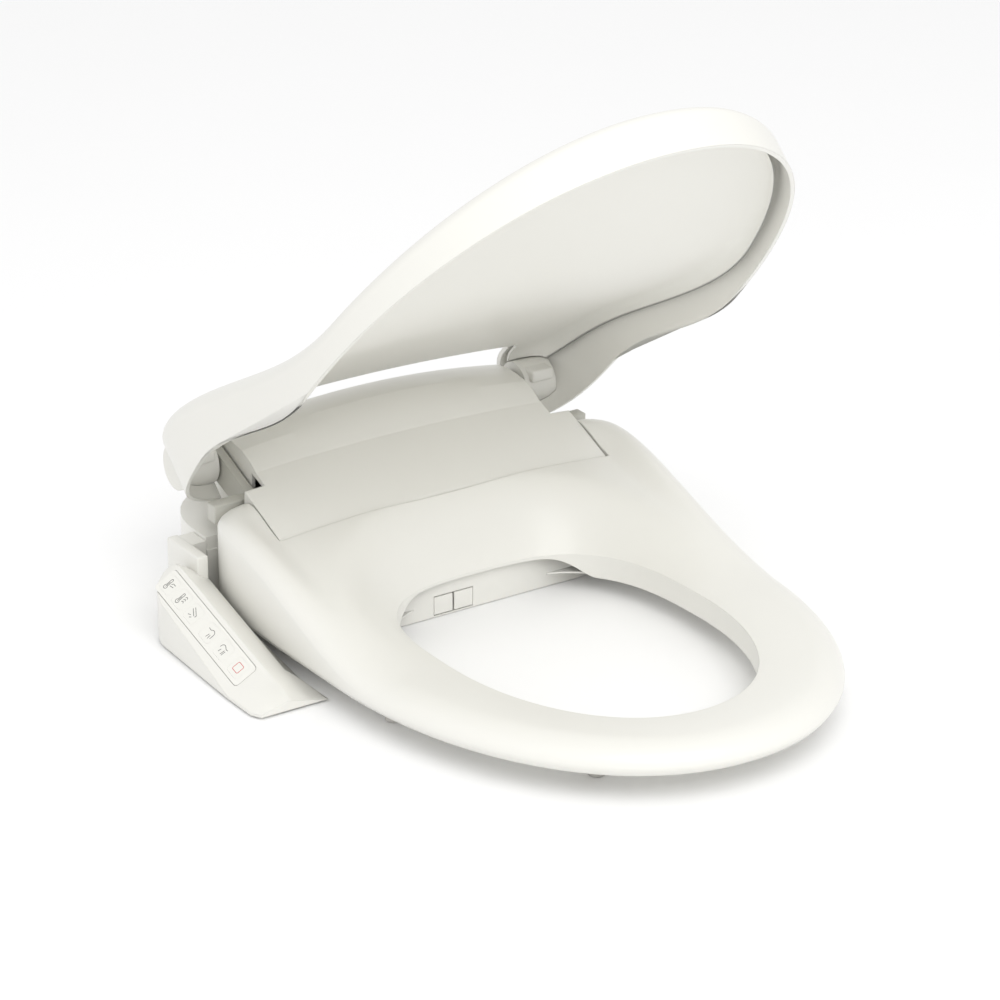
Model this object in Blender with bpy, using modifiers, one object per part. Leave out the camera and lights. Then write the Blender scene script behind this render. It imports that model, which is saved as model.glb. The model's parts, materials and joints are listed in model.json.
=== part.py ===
"""Electric bidet seat with a control arm, a ramped seat ring and a deep lid, shown with its lid half open.

Metres, +Z up. The origin is under the mounting plate, midway between the bowl bolts; +Y points to the
cistern, -Y to the front of the bowl, and the control arm is on the -X side.
"""

import math

import bmesh
import bpy
from mathutils import Matrix, Vector

# Driving dimensions
GAP = 0.0003                    # between touching pieces
WALL = 0.003                    # thickness of the moulded casings

HINGE_Y, HINGE_Z = 0.033, 0.095  # one axis for seat and lid
LID_REST = math.radians(47)     # how far the lid stands open

SEAT_HALF_WIDTH = 0.175
SEAT_FRONT_Y, SEAT_WIDEST_Y, SEAT_REAR_Y = -0.462, -0.205, -0.025
SEAT_BOTTOM_Z, SEAT_FRONT_Z, SEAT_REAR_Z = 0.013, 0.036, 0.089
SEAT_TUCK, SEAT_RISE, LIP_Z = 0.009, 0.020, 0.031   # inset of the lower edge, rise to the front, inner lip
RAMP_FRONT_Y, RAMP_REAR_Y = -0.262, -0.045
OPENING_HALF_WIDTH = 0.106
OPENING_FRONT_Y, OPENING_WIDEST_Y, OPENING_REAR_Y = -0.402, -0.245, -0.122

LID_HALF_WIDTH = 0.181
LID_FRONT_Y, LID_WIDEST_Y, LID_REAR_Y = -0.471, -0.200, 0.046
LID_WALL = 0.0035
LID_NOTCH_HALF_WIDTH, LID_NOTCH_Y = 0.1335, 0.008

TONGUE_HALF_WIDTH, TONGUE_FRONT_Y = 0.141, -0.082
TONGUE_REAR_Y = -0.0262
SPINE_HALF_WIDTH, CREASE_Y = 0.124, -0.019
HOUSING_REAR_Y, SHOULDER_Z = 0.061, 0.060
REAR_HALF_WIDTH, REAR_CORNER = 0.167, (0.050, 0.062)
NOSE_HALF_WIDTH, NOSE_FRONT_Y, NOSE_STEP_Y = 0.137, -0.117, -0.101
NOSE_TOP_Z, NOSE_LIP_Z = 0.050, 0.027

ARM_INNER_X, ARM_RIDGE_X = -0.1795, -0.200
ARM_FRONT_Y, ARM_REAR_Y = -0.190, -0.026
ARM_FOOT_Z, ROOT_X = 0.0012, -0.1885
ARM_FOOT_REACH = 0.0115          # how far the arm's inner foot reaches under the seat
ARM_SLOPE, FACE_SLOPE = 0.28, 0.75   # fall of the arm towards its front, and of its face outwards

WAND_TILT = math.radians(24)
WAND_RADIUS, WAND_LENGTH = 0.0055, 0.130
WAND_X, WAND_CENTRE_X = 0.0086, -0.018
WAND_EXIT_Z = 0.0085             # height of a wand's axis where it passes the front wall

PARTS = "electric_bidet_seat"
CUTTERS = "cutters"


# Scene and materials

def clear_scene():
    for obj in list(bpy.data.objects):
        bpy.data.objects.remove(obj, do_unlink=True)


def collection(name):
    found = bpy.data.collections.get(name)
    if found is None:
        found = bpy.data.collections.new(name)
        bpy.context.scene.collection.children.link(found)
    return found


def place(obj, home):
    for old in list(obj.users_collection):
        old.objects.unlink(obj)
    collection(home).objects.link(obj)


def paint(obj, finish):
    color, roughness, metallic = FINISHES[finish]
    mat = bpy.data.materials.new(f"{obj.name}_{finish}")
    mat.use_nodes = True
    shader = mat.node_tree.nodes["Principled BSDF"]
    shader.inputs["Base Color"].default_value = (*color, 1.0)
    shader.inputs["Roughness"].default_value = roughness
    shader.inputs["Metallic"].default_value = metallic
    mat.diffuse_color = (*color, 1.0)
    obj.data.materials.clear()
    obj.data.materials.append(mat)


FINISHES = {
    "white_plastic": ((0.84, 0.83, 0.79), 0.32, 0.0),
    "inner_plastic": ((0.70, 0.69, 0.65), 0.45, 0.0),
    "grey_rubber": ((0.58, 0.57, 0.54), 0.75, 0.0),
    "board_green": ((0.03, 0.20, 0.09), 0.45, 0.0),
    "black_plastic": ((0.03, 0.03, 0.03), 0.50, 0.0),
    "blue_plastic": ((0.10, 0.20, 0.45), 0.45, 0.0),
    "steel": ((0.62, 0.62, 0.62), 0.30, 1.0),
    "brass": ((0.72, 0.52, 0.22), 0.30, 1.0),
    "heater_foil": ((0.75, 0.60, 0.42), 0.35, 0.6),
}


def finish_node(obj, name, finish):
    obj.name = name
    obj.data.name = name
    place(obj, PARTS)
    obj.data.shade_smooth()
    obj.data.set_sharp_from_angle(angle=math.radians(35))
    paint(obj, finish)
    return obj


def hang(names, pivot):
    """Moves the origin of each piece onto its joint axis, leaving its shape where it is."""
    for name in names:
        obj = bpy.data.objects[name]
        obj.data.transform(Matrix.Translation(-Vector(pivot)))
        obj.location = pivot


def cutter(obj):
    place(obj, CUTTERS)
    obj.hide_render = True
    obj.display_type = "WIRE"
    return obj


def boolean(obj, other, operation):
    modifier = obj.modifiers.new(f"{operation.lower()}_{other.name}", "BOOLEAN")
    modifier.object = cutter(other)
    modifier.operation = operation
    modifier.solver = "EXACT"
    return obj


def cut(obj, *others):
    for other in others:
        boolean(obj, other, "DIFFERENCE")
    return obj


def unite(obj, *others):
    for other in others:
        boolean(obj, other, "UNION")
    return obj


# Plain shapes

def mesh_object(name, mesh_builder):
    mesh = bpy.data.meshes.new(name)
    bm = bmesh.new()
    mesh_builder(bm)
    bmesh.ops.recalc_face_normals(bm, faces=bm.faces)
    bm.to_mesh(mesh)
    bm.free()
    obj = bpy.data.objects.new(name, mesh)
    collection(PARTS).objects.link(obj)
    return obj


def box(name, low, high, bevel=0.0):
    """A box between two corners, with its vertical and horizontal edges rounded by bevel."""
    size = [b - a for a, b in zip(low, high)]
    middle = [(a + b) / 2 for a, b in zip(low, high)]

    def build(bm):
        bmesh.ops.create_cube(bm, size=1.0)
        bmesh.ops.scale(bm, vec=size, verts=bm.verts)
        bmesh.ops.translate(bm, vec=middle, verts=bm.verts)

    obj = mesh_object(name, build)
    if bevel:
        rounding = obj.modifiers.new("rounding", "BEVEL")
        rounding.width = bevel
        rounding.segments = 2
    return obj


AXES = {"X": Matrix.Rotation(math.pi / 2, 4, "Y"), "Y": Matrix.Rotation(-math.pi / 2, 4, "X"), "Z": Matrix()}


def rod(name, radius, start, end, axis, across=(0.0, 0.0), sides=24, end_radius=None):
    """A cylinder or cone along X, Y or Z from start to end; across holds the other two coordinates."""
    middle = (start + end) / 2
    spots = {"X": (middle, *across), "Y": (across[0], middle, across[1]), "Z": (*across, middle)}
    far = radius if end_radius is None else end_radius

    def build(bm):
        bmesh.ops.create_cone(bm, cap_ends=True, segments=sides, radius1=radius, radius2=far,
                              depth=end - start, matrix=Matrix.Translation(spots[axis]) @ AXES[axis])

    return mesh_object(name, build)


def on_hinge(name, radius, start, end, sides=24):
    return rod(name, radius, start, end, "X", (HINGE_Y, HINGE_Z), sides)


def slab(name, outline, bottom, top):
    """A flat outline in XY, a list of points going round it, extruded between two heights."""

    def build(bm):
        low = [bm.verts.new((x, y, bottom)) for x, y in outline]
        face = bm.faces.new(low)
        raised = bmesh.ops.extrude_face_region(bm, geom=[face])
        verts = [v for v in raised["geom"] if isinstance(v, bmesh.types.BMVert)]
        bmesh.ops.translate(bm, vec=(0, 0, top - bottom), verts=verts)

    return mesh_object(name, build)


def loft(name, rings, closed=False):
    """A skin over rings of equal length. Open rings are capped; closed joins the last ring to the first."""

    def build(bm):
        rows = [[bm.verts.new(p) for p in ring] for ring in rings]
        count = len(rows[0])
        pairs = list(zip(rows, rows[1:] + rows[:1])) if closed else list(zip(rows, rows[1:]))
        for one, two in pairs:
            for i in range(count):
                j = (i + 1) % count
                bm.faces.new((one[i], one[j], two[j], two[i]))
        if not closed:
            bm.faces.new(rows[0])
            bm.faces.new(rows[-1])

    return mesh_object(name, build)


def rounded_rectangle(x0, x1, y0, y1, radius, steps=5):
    points = []
    corners = ((x1 - radius, y1 - radius, 0), (x0 + radius, y1 - radius, 90),
               (x0 + radius, y0 + radius, 180), (x1 - radius, y0 + radius, 270))
    for cx, cy, start in corners:
        for i in range(steps + 1):
            a = math.radians(start + 90 * i / steps)
            points.append((cx + radius * math.cos(a), cy + radius * math.sin(a)))
    return points


# Outlines of seat, opening and lid

CENTRE = Vector((0.0, -0.225))
RAYS = 60


def smoothstep(value, low, high):
    t = min(1.0, max(0.0, (value - low) / (high - low)))
    return t * t * (3 - 2 * t)


def egg_radius(angle, half_width, front, widest, rear, front_power, rear_power, grow=0.0):
    """Distance from CENTRE to an egg outline along a ray. Its halves meet at the widest line."""
    direction = Vector((math.cos(angle), math.sin(angle)))

    def outside(distance):
        x, y = CENTRE + direction * distance
        y -= widest
        reach, power = (rear - widest, rear_power) if y > 0 else (widest - front, front_power)
        return abs(x / (half_width + grow)) ** power + abs(y / (reach + grow)) ** power > 1

    near, far = 0.0, 1.0
    for _ in range(40):
        middle = (near + far) / 2
        near, far = (near, middle) if outside(middle) else (middle, far)
    return near


def seat_edge(angle, grow=0.0):
    return egg_radius(angle, SEAT_HALF_WIDTH, SEAT_FRONT_Y, SEAT_WIDEST_Y, SEAT_REAR_Y, 2.1, 12.0, grow)


def opening_edge(angle, grow=0.0):
    return egg_radius(angle, OPENING_HALF_WIDTH, OPENING_FRONT_Y, OPENING_WIDEST_Y, OPENING_REAR_Y,
                      2.1, 3.0, grow)


def lid_edge(angle, grow=0.0):
    return egg_radius(angle, LID_HALF_WIDTH, LID_FRONT_Y, LID_WIDEST_Y, LID_REAR_Y, 2.1, 8.0, grow)


def angles():
    return [2 * math.pi * i / RAYS for i in range(RAYS)]


def egg_outline(edge, grow):
    return [tuple(at(angle, edge(angle) + grow, 0.0).xy) for angle in angles()]


def at(angle, distance, z):
    return Vector((CENTRE.x + distance * math.cos(angle), CENTRE.y + distance * math.sin(angle), z))


# Seat

def ramp(y):
    return smoothstep(y, RAMP_FRONT_Y, RAMP_REAR_Y)


def seat_dip(x, y):
    """How far the seat dips between its raised rear corners to meet the tongue, which is crowned."""
    near = smoothstep(y, -0.20, TONGUE_FRONT_Y) * (1 - smoothstep(y, TONGUE_FRONT_Y, -0.038))
    across = 1 - smoothstep(abs(x), TONGUE_HALF_WIDTH, 0.168)
    crown = max(0.0, 1 - (x / TONGUE_HALF_WIDTH) ** 2)
    return near * (0.0100 * across - 0.0065 * crown)


def seat_top(angle, distance):
    """Height of the sitting surface: the ramp, rounded at its outer edge and dished towards the opening."""
    y = CENTRE.y + distance * math.sin(angle)
    x = CENTRE.x + distance * math.cos(angle)
    crest = SEAT_FRONT_Z + (SEAT_REAR_Z - SEAT_FRONT_Z) * ramp(y) - seat_dip(x, y)
    inward = max(0.0, 1 - (distance - opening_edge(angle)) / 0.046)
    outward = min(1.0, max(0.0, 1 - (seat_edge(angle) - distance) / 0.020))
    return crest - (crest - LIP_Z) * inward ** 1.7 - 0.014 * (1 - math.sqrt(1 - outward ** 2))


def seat_floor(angle):
    """Height of the seat's lower edge round the opening: it lifts over the nozzle housing."""
    y = CENTRE.y + opening_edge(angle) * math.sin(angle)
    return SEAT_BOTTOM_Z + 0.0155 * smoothstep(y, -0.150, -0.126)


def raised(obj):
    """Tilts a piece of the seat with the whole seat, whose front stands a little higher than its back."""
    for vertex in obj.data.vertices:
        vertex.co.z += seat_rise(vertex.co.y)
    return obj


def seat_rise(y):
    return SEAT_RISE * max(0.0, -0.130 - y)


SEAT_SHARES = (0.0, 0.012, 0.05, 0.13, 0.25, 0.42, 0.58, 0.72, 0.84, 0.93, 0.98, 1.0)
TUCK = ((1.0, 0.0), (0.45, 0.0025), (0.12, 0.0065))     # share of the inset, height above the lower edge


def seat_ring(name, inset, bottom_drop=0.0):
    """The ring's solid. With an inset it is the same ring that much smaller all round, for hollowing."""
    rings = []
    for angle in angles():
        outer, inner = seat_edge(angle) - inset, opening_edge(angle) + inset
        ring = []
        if bottom_drop:
            ring.append(at(angle, outer - SEAT_TUCK, SEAT_BOTTOM_Z - bottom_drop))
        for share, height in TUCK:
            ring.append(at(angle, outer - SEAT_TUCK * share, SEAT_BOTTOM_Z + height))
        ring.append(at(angle, outer, SEAT_BOTTOM_Z + 0.0085))
        for share in SEAT_SHARES[1:]:
            distance = outer + (inner - outer) * share
            ring.append(at(angle, distance, seat_top(angle, distance) - inset))
        ring.append(at(angle, inner, seat_floor(angle) - bottom_drop))
        rings.append(ring)
    return raised(loft(name, rings, closed=True))


def tongue_notch(name, grow=0.0):
    """The space that the housing's tongue takes out of the seat's rear."""
    half = TONGUE_HALF_WIDTH + 0.0015 + grow
    return box(name, (-half, TONGUE_FRONT_Y - 0.0015 - grow, -0.1), (half, 0.1, 0.2))


def nose_reliefs(name, grow=0.0):
    """The space over the stepped nozzle housing, under the seat's rear bridge."""
    half = NOSE_HALF_WIDTH + 0.003 + grow
    high = plan_box(f"{name}_high", half, NOSE_STEP_Y - 0.004 - grow, 0.1, -0.1, NOSE_TOP_Z + 0.003 + grow)
    low = plan_box(f"{name}_low", half, NOSE_FRONT_Y - 0.0035 - grow, 0.1, -0.1, NOSE_LIP_Z + 0.002)
    return high, low


SEAT_WALL = 0.003
BASE_THICKNESS = 0.0025


def make_seat():
    hollow = seat_ring("seat_hollow", SEAT_WALL, bottom_drop=0.004)
    cut(hollow, tongue_notch("seat_hollow_notch", SEAT_WALL))
    top = seat_ring("seat_top", 0.0)
    cut(top, tongue_notch("seat_notch"), *nose_reliefs("seat_relief"), hollow)
    finish_node(top, "seat_top", "white_plastic")

    rim = SEAT_WALL + GAP
    outline = egg_outline(seat_edge, -SEAT_TUCK - rim)
    base = slab("seat_base", outline, SEAT_BOTTOM_Z, SEAT_BOTTOM_Z + BASE_THICKNESS)
    opening = slab("seat_base_opening", egg_outline(opening_edge, rim), 0.0, 0.1)
    raised(base)
    half = TONGUE_HALF_WIDTH + 0.0015 + rim
    cut(base, opening, box("seat_base_notch", (-half, NOSE_FRONT_Y - 0.0085, -0.1), (half, 0.1, 0.2)))
    finish_node(base, "seat_base", "white_plastic")


def make_seat_heater():
    """A foil band glued under the sitting surface, down both sides and round the front."""
    rings = []
    for angle in angles():
        reach = seat_edge(angle) - opening_edge(angle)
        outer, inner = seat_edge(angle) - 0.28 * reach, opening_edge(angle) + 0.34 * reach
        ring = []
        for distance in (outer, (outer + inner) / 2, inner):
            ring.append(at(angle, distance, seat_top(angle, distance) - SEAT_WALL - 0.0012))
        for distance in (inner, (outer + inner) / 2, outer):
            ring.append(at(angle, distance, seat_top(angle, distance) - SEAT_WALL - 0.0022))
        rings.append(ring)
    foil = raised(loft("seat_heater", rings, closed=True))
    cut(foil, box("heater_gap", (-0.2, -0.16, 0.0), (0.2, 0.1, 0.2)))
    finish_node(foil, "seat_heater", "heater_foil")


BUMPERS = {"front_left": (-0.075, -0.381), "front_right": (0.075, -0.381),
           "rear_left": (-0.145, -0.239), "rear_right": (0.145, -0.239)}


def make_seat_bumpers():
    for side, spot in BUMPERS.items():
        top = SEAT_BOTTOM_Z + seat_rise(spot[1] + 0.0072) - GAP
        foot = rod("foot", 0.0062, 0.0, top, "Z", spot, 20, 0.0072)
        finish_node(foot, f"seat_bumper_{side}", "grey_rubber")


# Lid, modelled closed and then turned to where it stands

def turn_lid(obj):
    pivot = Matrix.Translation((0, HINGE_Y, HINGE_Z))
    turn = pivot @ Matrix.Rotation(-LID_REST, 4, "X") @ pivot.inverted()
    obj.data.transform(turn)


LID_FRONT_EDGE_Z, LID_REAR_EDGE_Z, LID_CROWN = 0.049, 0.118, 0.010


def lid_top(x, y):
    edge = LID_FRONT_EDGE_Z + (LID_REAR_EDGE_Z - LID_FRONT_EDGE_Z) * smoothstep(y, -0.27, 0.02)
    return edge + LID_CROWN * (1 - (x / LID_HALF_WIDTH) ** 2)


def lid_rim(y):
    return 0.024 + 0.042 * smoothstep(y, -0.21, -0.04)


def lid_ring(angle, share, inset, drop):
    """A point of the lid's skin: share 1 is its edge and 0 its middle."""
    distance = (lid_edge(angle) - inset) * share
    spot = at(angle, distance, 0.0)
    outward = max(0.0, 1 - (lid_edge(angle) - inset - distance) / 0.014)
    roll = 0.010 * (1 - math.sqrt(1 - min(outward, 1.0) ** 2))
    spot.z = lid_top(spot.x, spot.y) - roll - drop
    return spot


def lid_skin(name, inset, drop, rim_drop):
    """A solid cap under the lid's surface, down to its rim."""
    rings = []
    rim = []
    for angle in angles():
        spot = at(angle, lid_edge(angle) - inset, 0.0)
        spot.z = lid_rim(spot.y) - rim_drop
        rim.append(spot)
    rings.append(rim)
    for share in (1.0, 0.99, 0.965, 0.92, 0.80, 0.62, 0.42, 0.22, 0.07):
        rings.append([lid_ring(angle, share, inset, drop) for angle in angles()])
    return loft(name, rings)


def lid_notch(name, grow=0.0):
    half = LID_NOTCH_HALF_WIDTH + grow
    return box(name, (-half, LID_NOTCH_Y - grow, 0.0), (half, 0.2, 0.3))


def boss_seats(name, radius):
    """Room for the hinge bosses, which sit in the lid's rear corners."""
    return [on_hinge(f"{name}_seat_{sign}", radius, *sided((LID_BOSS[0] - 0.01, LID_BOSS[1] + GAP), sign), 32)
            for sign in (-1, 1)]


def make_lid():
    shell = lid_skin("lid_shell", 0.0, 0.0, 0.0)
    hollow = lid_skin("lid_hollow", LID_WALL, LID_WALL, 0.02)
    notch = lid_notch("lid_notch")
    for obj in (shell, hollow, notch):
        turn_lid(obj)
    cut(shell, hollow, notch)
    cut(shell, *boss_seats("lid_shell", 0.0178))
    finish_node(shell, "lid_shell", "white_plastic")


PANEL_THICKNESS, PANEL_INSET = 0.0022, 0.0065


def make_lid_panel():
    """The liner under the lid, which hides the shell's ribs."""
    rings = []
    shares = (1.0, 0.97, 0.92, 0.80, 0.62, 0.42, 0.22, 0.07)
    inset = LID_WALL + PANEL_INSET
    for share in shares:
        rings.append([lid_ring(angle, share, inset, LID_WALL + GAP + 0.0012) for angle in angles()])
    top = loft("lid_panel", list(reversed(rings)) + [
        [lid_ring(angle, share, inset, LID_WALL + GAP + 0.0012 + PANEL_THICKNESS) for angle in angles()]
        for share in shares])
    turn_lid(top)
    notch = lid_notch("lid_panel_notch", grow=0.002)
    turn_lid(notch)
    cut(top, notch, *boss_seats("lid_panel", 0.0185))
    finish_node(top, "lid_panel", "white_plastic")


# Hinges

LID_BOSS = (0.1345, 0.1620)      # from, to, along X on each side
SEAT_KNUCKLE = (0.1255, 0.1325)
SHAFT_RADIUS = 0.0060
BORE_RADIUS = 0.0066


def sided(pair, sign):
    """The same stretch of X on the left (-1) or the right (+1) side, low end first."""
    return tuple(sorted(sign * v for v in pair))


def make_lid_hinges():
    for side, sign in (("left", -1), ("right", 1)):
        low, high = sided(LID_BOSS, sign)
        boss = on_hinge("boss", 0.0175, low, high, 32)
        web = box("web", (low + 0.004, HINGE_Y - 0.020, HINGE_Z + 0.006),
                  (high - 0.004, HINGE_Y - 0.004, HINGE_Z + 0.0155), 0.002)
        unite(boss, web)
        cut(boss, on_hinge("boss_bore", BORE_RADIUS, *sided((LID_BOSS[0] - 0.01, LID_BOSS[1] - 0.004), sign)))
        finish_node(boss, f"lid_hinge_{side}", "inner_plastic")


def seat_arm_profile():
    """The seat's hinge arm from the side: a round eye on the axis and a bar running forward to the seat."""
    radius = 0.0125
    eye = [(HINGE_Y + radius * math.cos(a), HINGE_Z + radius * math.sin(a))
           for a in (math.radians(d) for d in range(-100, 101, 20))]
    return eye + [(-0.010, 0.0900), (-0.0247, 0.0860), (-0.0247, 0.0700), (-0.004, 0.0700)]


def prism_x(name, profile, low, high):
    """A profile in YZ extruded along X."""

    def build(bm):
        face = bm.faces.new([bm.verts.new((low, y, z)) for y, z in profile])
        pushed = bmesh.ops.extrude_face_region(bm, geom=[face])
        verts = [v for v in pushed["geom"] if isinstance(v, bmesh.types.BMVert)]
        bmesh.ops.translate(bm, vec=(high - low, 0, 0), verts=verts)

    return mesh_object(name, build)


def make_seat_hinges():
    for side, sign in (("left", -1), ("right", 1)):
        low, high = sided(SEAT_KNUCKLE, sign)
        arm = prism_x("arm", seat_arm_profile(), low, high)
        foot = sided((SEAT_KNUCKLE[0] + 0.002, 0.162), sign)
        bar = box("bar", (foot[0], -0.0247, 0.0705), (foot[1], -0.0135, 0.0845), 0.001)
        unite(arm, bar)
        cut(arm, on_hinge("arm_bore", BORE_RADIUS, low - 0.01, high + 0.01))
        finish_node(arm, f"seat_hinge_{side}", "inner_plastic")


def make_shafts():
    """Each shaft is held in its damper and carries both hinges of its side."""
    finish_node(on_hinge("shaft", SHAFT_RADIUS, -0.1565, -0.0905), "lid_shaft", "steel")
    finish_node(on_hinge("shaft", SHAFT_RADIUS, 0.0905, 0.1565), "seat_shaft", "steel")


def make_dampers():
    for name, sign in (("lid_damper", -1), ("seat_damper", 1)):
        low, high = sided((0.0560, 0.1200), sign)
        body = on_hinge("damper", 0.0120, low, high, 28)
        rib = box("rib", (low + 0.002, HINGE_Y - 0.004, HINGE_Z - 0.0155),
                  (high - 0.012 if sign > 0 else high - 0.002, HINGE_Y + 0.004, HINGE_Z - 0.008))
        if sign < 0:
            rib.data.transform(Matrix.Translation((0.005, 0, 0)))
        unite(body, rib)
        inner, outer = sided((0.0900, 0.1300), sign)
        cut(body, on_hinge("damper_bore", BORE_RADIUS, inner, outer))
        finish_node(body, name, "black_plastic")


# Housing

def lift_at(x, y, z):
    """How far the cover's top rises at x: a little at the tongue's edge, more along the spine's ridge."""
    if z < 0.0715:
        return 0.0
    height = 0.0055 + 0.0080 * smoothstep(y, CREASE_Y, 0.020)
    return height * (1 - (x / TONGUE_HALF_WIDTH) ** 2) - 0.0060 * smoothstep(y, CREASE_Y, 0.020)


def x_sections(half_width, steps=10):
    return [half_width * (2 * i / steps - 1) for i in range(steps + 1)]


def crowned_prism(name, profile, half_width):
    """A YZ profile along X whose upper points rise towards the middle."""
    rings = []
    for x in x_sections(half_width):
        rings.append([(x, y, z + lift_at(x, y, z)) for y, z in profile])
    return loft(name, rings)


SPINE_PROFILE = ((CREASE_Y, SHOULDER_Z + GAP), (CREASE_Y, 0.0990), (-0.010, 0.1055), (0.001, 0.1115),
                 (0.013, 0.1150), (0.026, 0.1160), (0.039, 0.1145), (0.050, 0.1085), (0.057, 0.0985),
                 (HOUSING_REAR_Y - 0.0005, 0.0860), (HOUSING_REAR_Y - 0.0005, SHOULDER_Z + GAP))
TONGUE_PROFILE = ((TONGUE_FRONT_Y, NOSE_TOP_Z + GAP), (TONGUE_FRONT_Y, 0.0725),
                  (TONGUE_FRONT_Y + 0.002, 0.0742), (-0.050, 0.0868), (CREASE_Y, 0.0990),
                  (CREASE_Y + 0.004, 0.1005), (CREASE_Y + 0.004, SHOULDER_Z + GAP),
                  (CREASE_Y - 0.0025, SHOULDER_Z + GAP), (CREASE_Y - 0.0025, NOSE_TOP_Z + GAP))


def shrink(profile, amount, bottom):
    """The profile moved inwards by amount, with its lowest points taken down to bottom."""
    middle_y = sum(y for y, z in profile) / len(profile)
    moved = []
    lowest = min(z for y, z in profile)
    for y, z in profile:
        y += amount if y < middle_y else -amount
        z = bottom if z < lowest + 0.02 else z - amount
        moved.append((y, z))
    return moved


def make_upper_cover():
    spine = crowned_prism("upper_cover", SPINE_PROFILE, SPINE_HALF_WIDTH)
    tongue = crowned_prism("tongue", TONGUE_PROFILE, TONGUE_HALF_WIDTH)
    unite(spine, tongue)
    for sign in (-1, 1):
        low, high = sided((SPINE_HALF_WIDTH + GAP, 0.2), sign)
        cut(spine, box(f"arm_way_{sign}", (low, TONGUE_REAR_Y, 0.0), (high, 0.2, 0.2)))
        cut(spine, on_hinge(f"arm_swing_{sign}", 0.0650, low, high, 48))
    inner_spine = ((CREASE_Y + 0.004, 0.05), (CREASE_Y + 0.004, 0.0970), (-0.009, 0.1020), (0.002, 0.1082),
                   (0.0135, 0.1118), (0.026, 0.1128), (0.038, 0.1114), (0.0475, 0.1065), (0.054, 0.0975),
                   (HOUSING_REAR_Y - 0.0035, 0.0850), (HOUSING_REAR_Y - 0.0035, 0.05))
    inner_tongue = ((TONGUE_FRONT_Y + WALL, 0.04), (TONGUE_FRONT_Y + WALL, 0.0718), (-0.050, 0.0834),
                    (CREASE_Y + 0.001, 0.0952), (CREASE_Y + 0.006, 0.0968), (CREASE_Y + 0.006, 0.04))
    cut(spine, crowned_prism("spine_hollow", inner_spine, SPINE_HALF_WIDTH - WALL),
        crowned_prism("tongue_hollow", inner_tongue, TONGUE_HALF_WIDTH - WALL))
    cut(spine, on_hinge("cover_bores", 0.0072, -0.2, 0.2))
    finish_node(spine, "upper_cover", "white_plastic")


def housing_outline(inset=0.0):
    """Plan of the lower casing: a full-width rear and a narrower nose with rounded front corners."""
    rear, nose = REAR_HALF_WIDTH - inset, NOSE_HALF_WIDTH - inset
    front, back = NOSE_FRONT_Y + inset, HOUSING_REAR_Y - inset
    step_y = CREASE_Y - 0.002 + inset
    half = [(rear, step_y)]
    across, deep = REAR_CORNER
    half += [(rear - across + across * math.cos(a), back - deep + deep * math.sin(a))
             for a in (math.radians(d) for d in range(0, 91, 10))]
    radius = 0.042
    nose_side = [(nose, step_y)] + [
        (nose - radius + radius * math.cos(a), front + radius - radius * math.sin(a))
        for a in (math.radians(d) for d in (0, 22.5, 45, 67.5, 90))]
    right = list(reversed(nose_side)) + half
    return right + [(-x, y) for x, y in reversed(right)]


def plan_box(name, half_width, y0, y1, z0, z1):
    return box(name, (-half_width, y0, z0), (half_width, y1, z1))


PLATE_RECESS = (0.0865, -0.0305, 0.0355, 0.0092)     # half width, y from and to, height


def make_lower_casing():
    step = CREASE_Y - 0.0005
    body = slab("lower_casing", housing_outline(), 0.0, SHOULDER_Z)
    cut(body, box("nose_step", (-0.2, -0.2, NOSE_TOP_Z), (0.2, step, 0.2)))
    cut(body, box("nose_lip_step", (-0.2, -0.2, NOSE_LIP_Z), (0.2, NOSE_STEP_Y, 0.2)))
    floor = PLATE_RECESS[3] + 0.0028
    cut(body, slab("casing_hollow", housing_outline(WALL), floor, NOSE_LIP_Z - WALL))
    upper = slab("casing_hollow_upper", housing_outline(WALL), floor, NOSE_TOP_Z - WALL)
    cut(upper, box("hollow_step", (-0.2, -0.2, 0.0), (0.2, NOSE_STEP_Y + WALL, 0.2)))
    cut(body, upper)
    cut(body, plan_box("nose_mouth", TONGUE_HALF_WIDTH - 0.008, TONGUE_FRONT_Y + WALL + 0.001, step + 0.002,
                       0.03, 0.1))
    rear = HOUSING_REAR_Y - 0.0042
    cut(body, plan_box("rear_mouth", SPINE_HALF_WIDTH - WALL, step - 0.004, rear, 0.03, 0.1))
    for sign in (-1, 1):
        low, high = sided((SPINE_HALF_WIDTH - 0.01, REAR_HALF_WIDTH - WALL), sign)
        corner = (high, 0.010, SHOULDER_Z - WALL)
        cut(body, box(f"shoulder_hollow_{sign}", (low, CREASE_Y + 0.002, 0.03), corner))
    half, y0, y1, height = PLATE_RECESS
    for sign in (-1, 1):
        low, high = sided(PAD_X, sign)
        corner = (high + GAP, PAD_Y[1] + GAP, PAD_HEIGHT + GAP)
        cut(body, box(f"pad_recess_{sign}", (low - GAP, PAD_Y[0] - GAP, -0.01), corner))
    cut(body, plan_box("plate_recess", half, y0, y1, -0.01, height))
    left, right = WAND_CENTRE_X - WAND_X - 0.00825, WAND_CENTRE_X + WAND_X + 0.00825
    cut(body, box("wand_window", (left, -0.2, 0.0012), (right, NOSE_FRONT_Y + 0.02, 0.0166)))
    cut(body, box("wand_channel", (left, NOSE_FRONT_Y + WALL + 0.001, 0.0012), (right, -0.032, 0.0262)))
    cut(body, rod("gland_hole", 0.0068, 0.03, 0.08, "Y", (-0.1080, 0.026)))
    cut(body, rod("inlet_hole", 0.0098, 0.03, 0.08, "Y", (0.1060, 0.026)))
    cut(body, box("release_hole", (0.15, -0.0180, 0.0195), (0.19, -0.0050, 0.0305)))
    finish_node(body, "lower_casing", "white_plastic")


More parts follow.
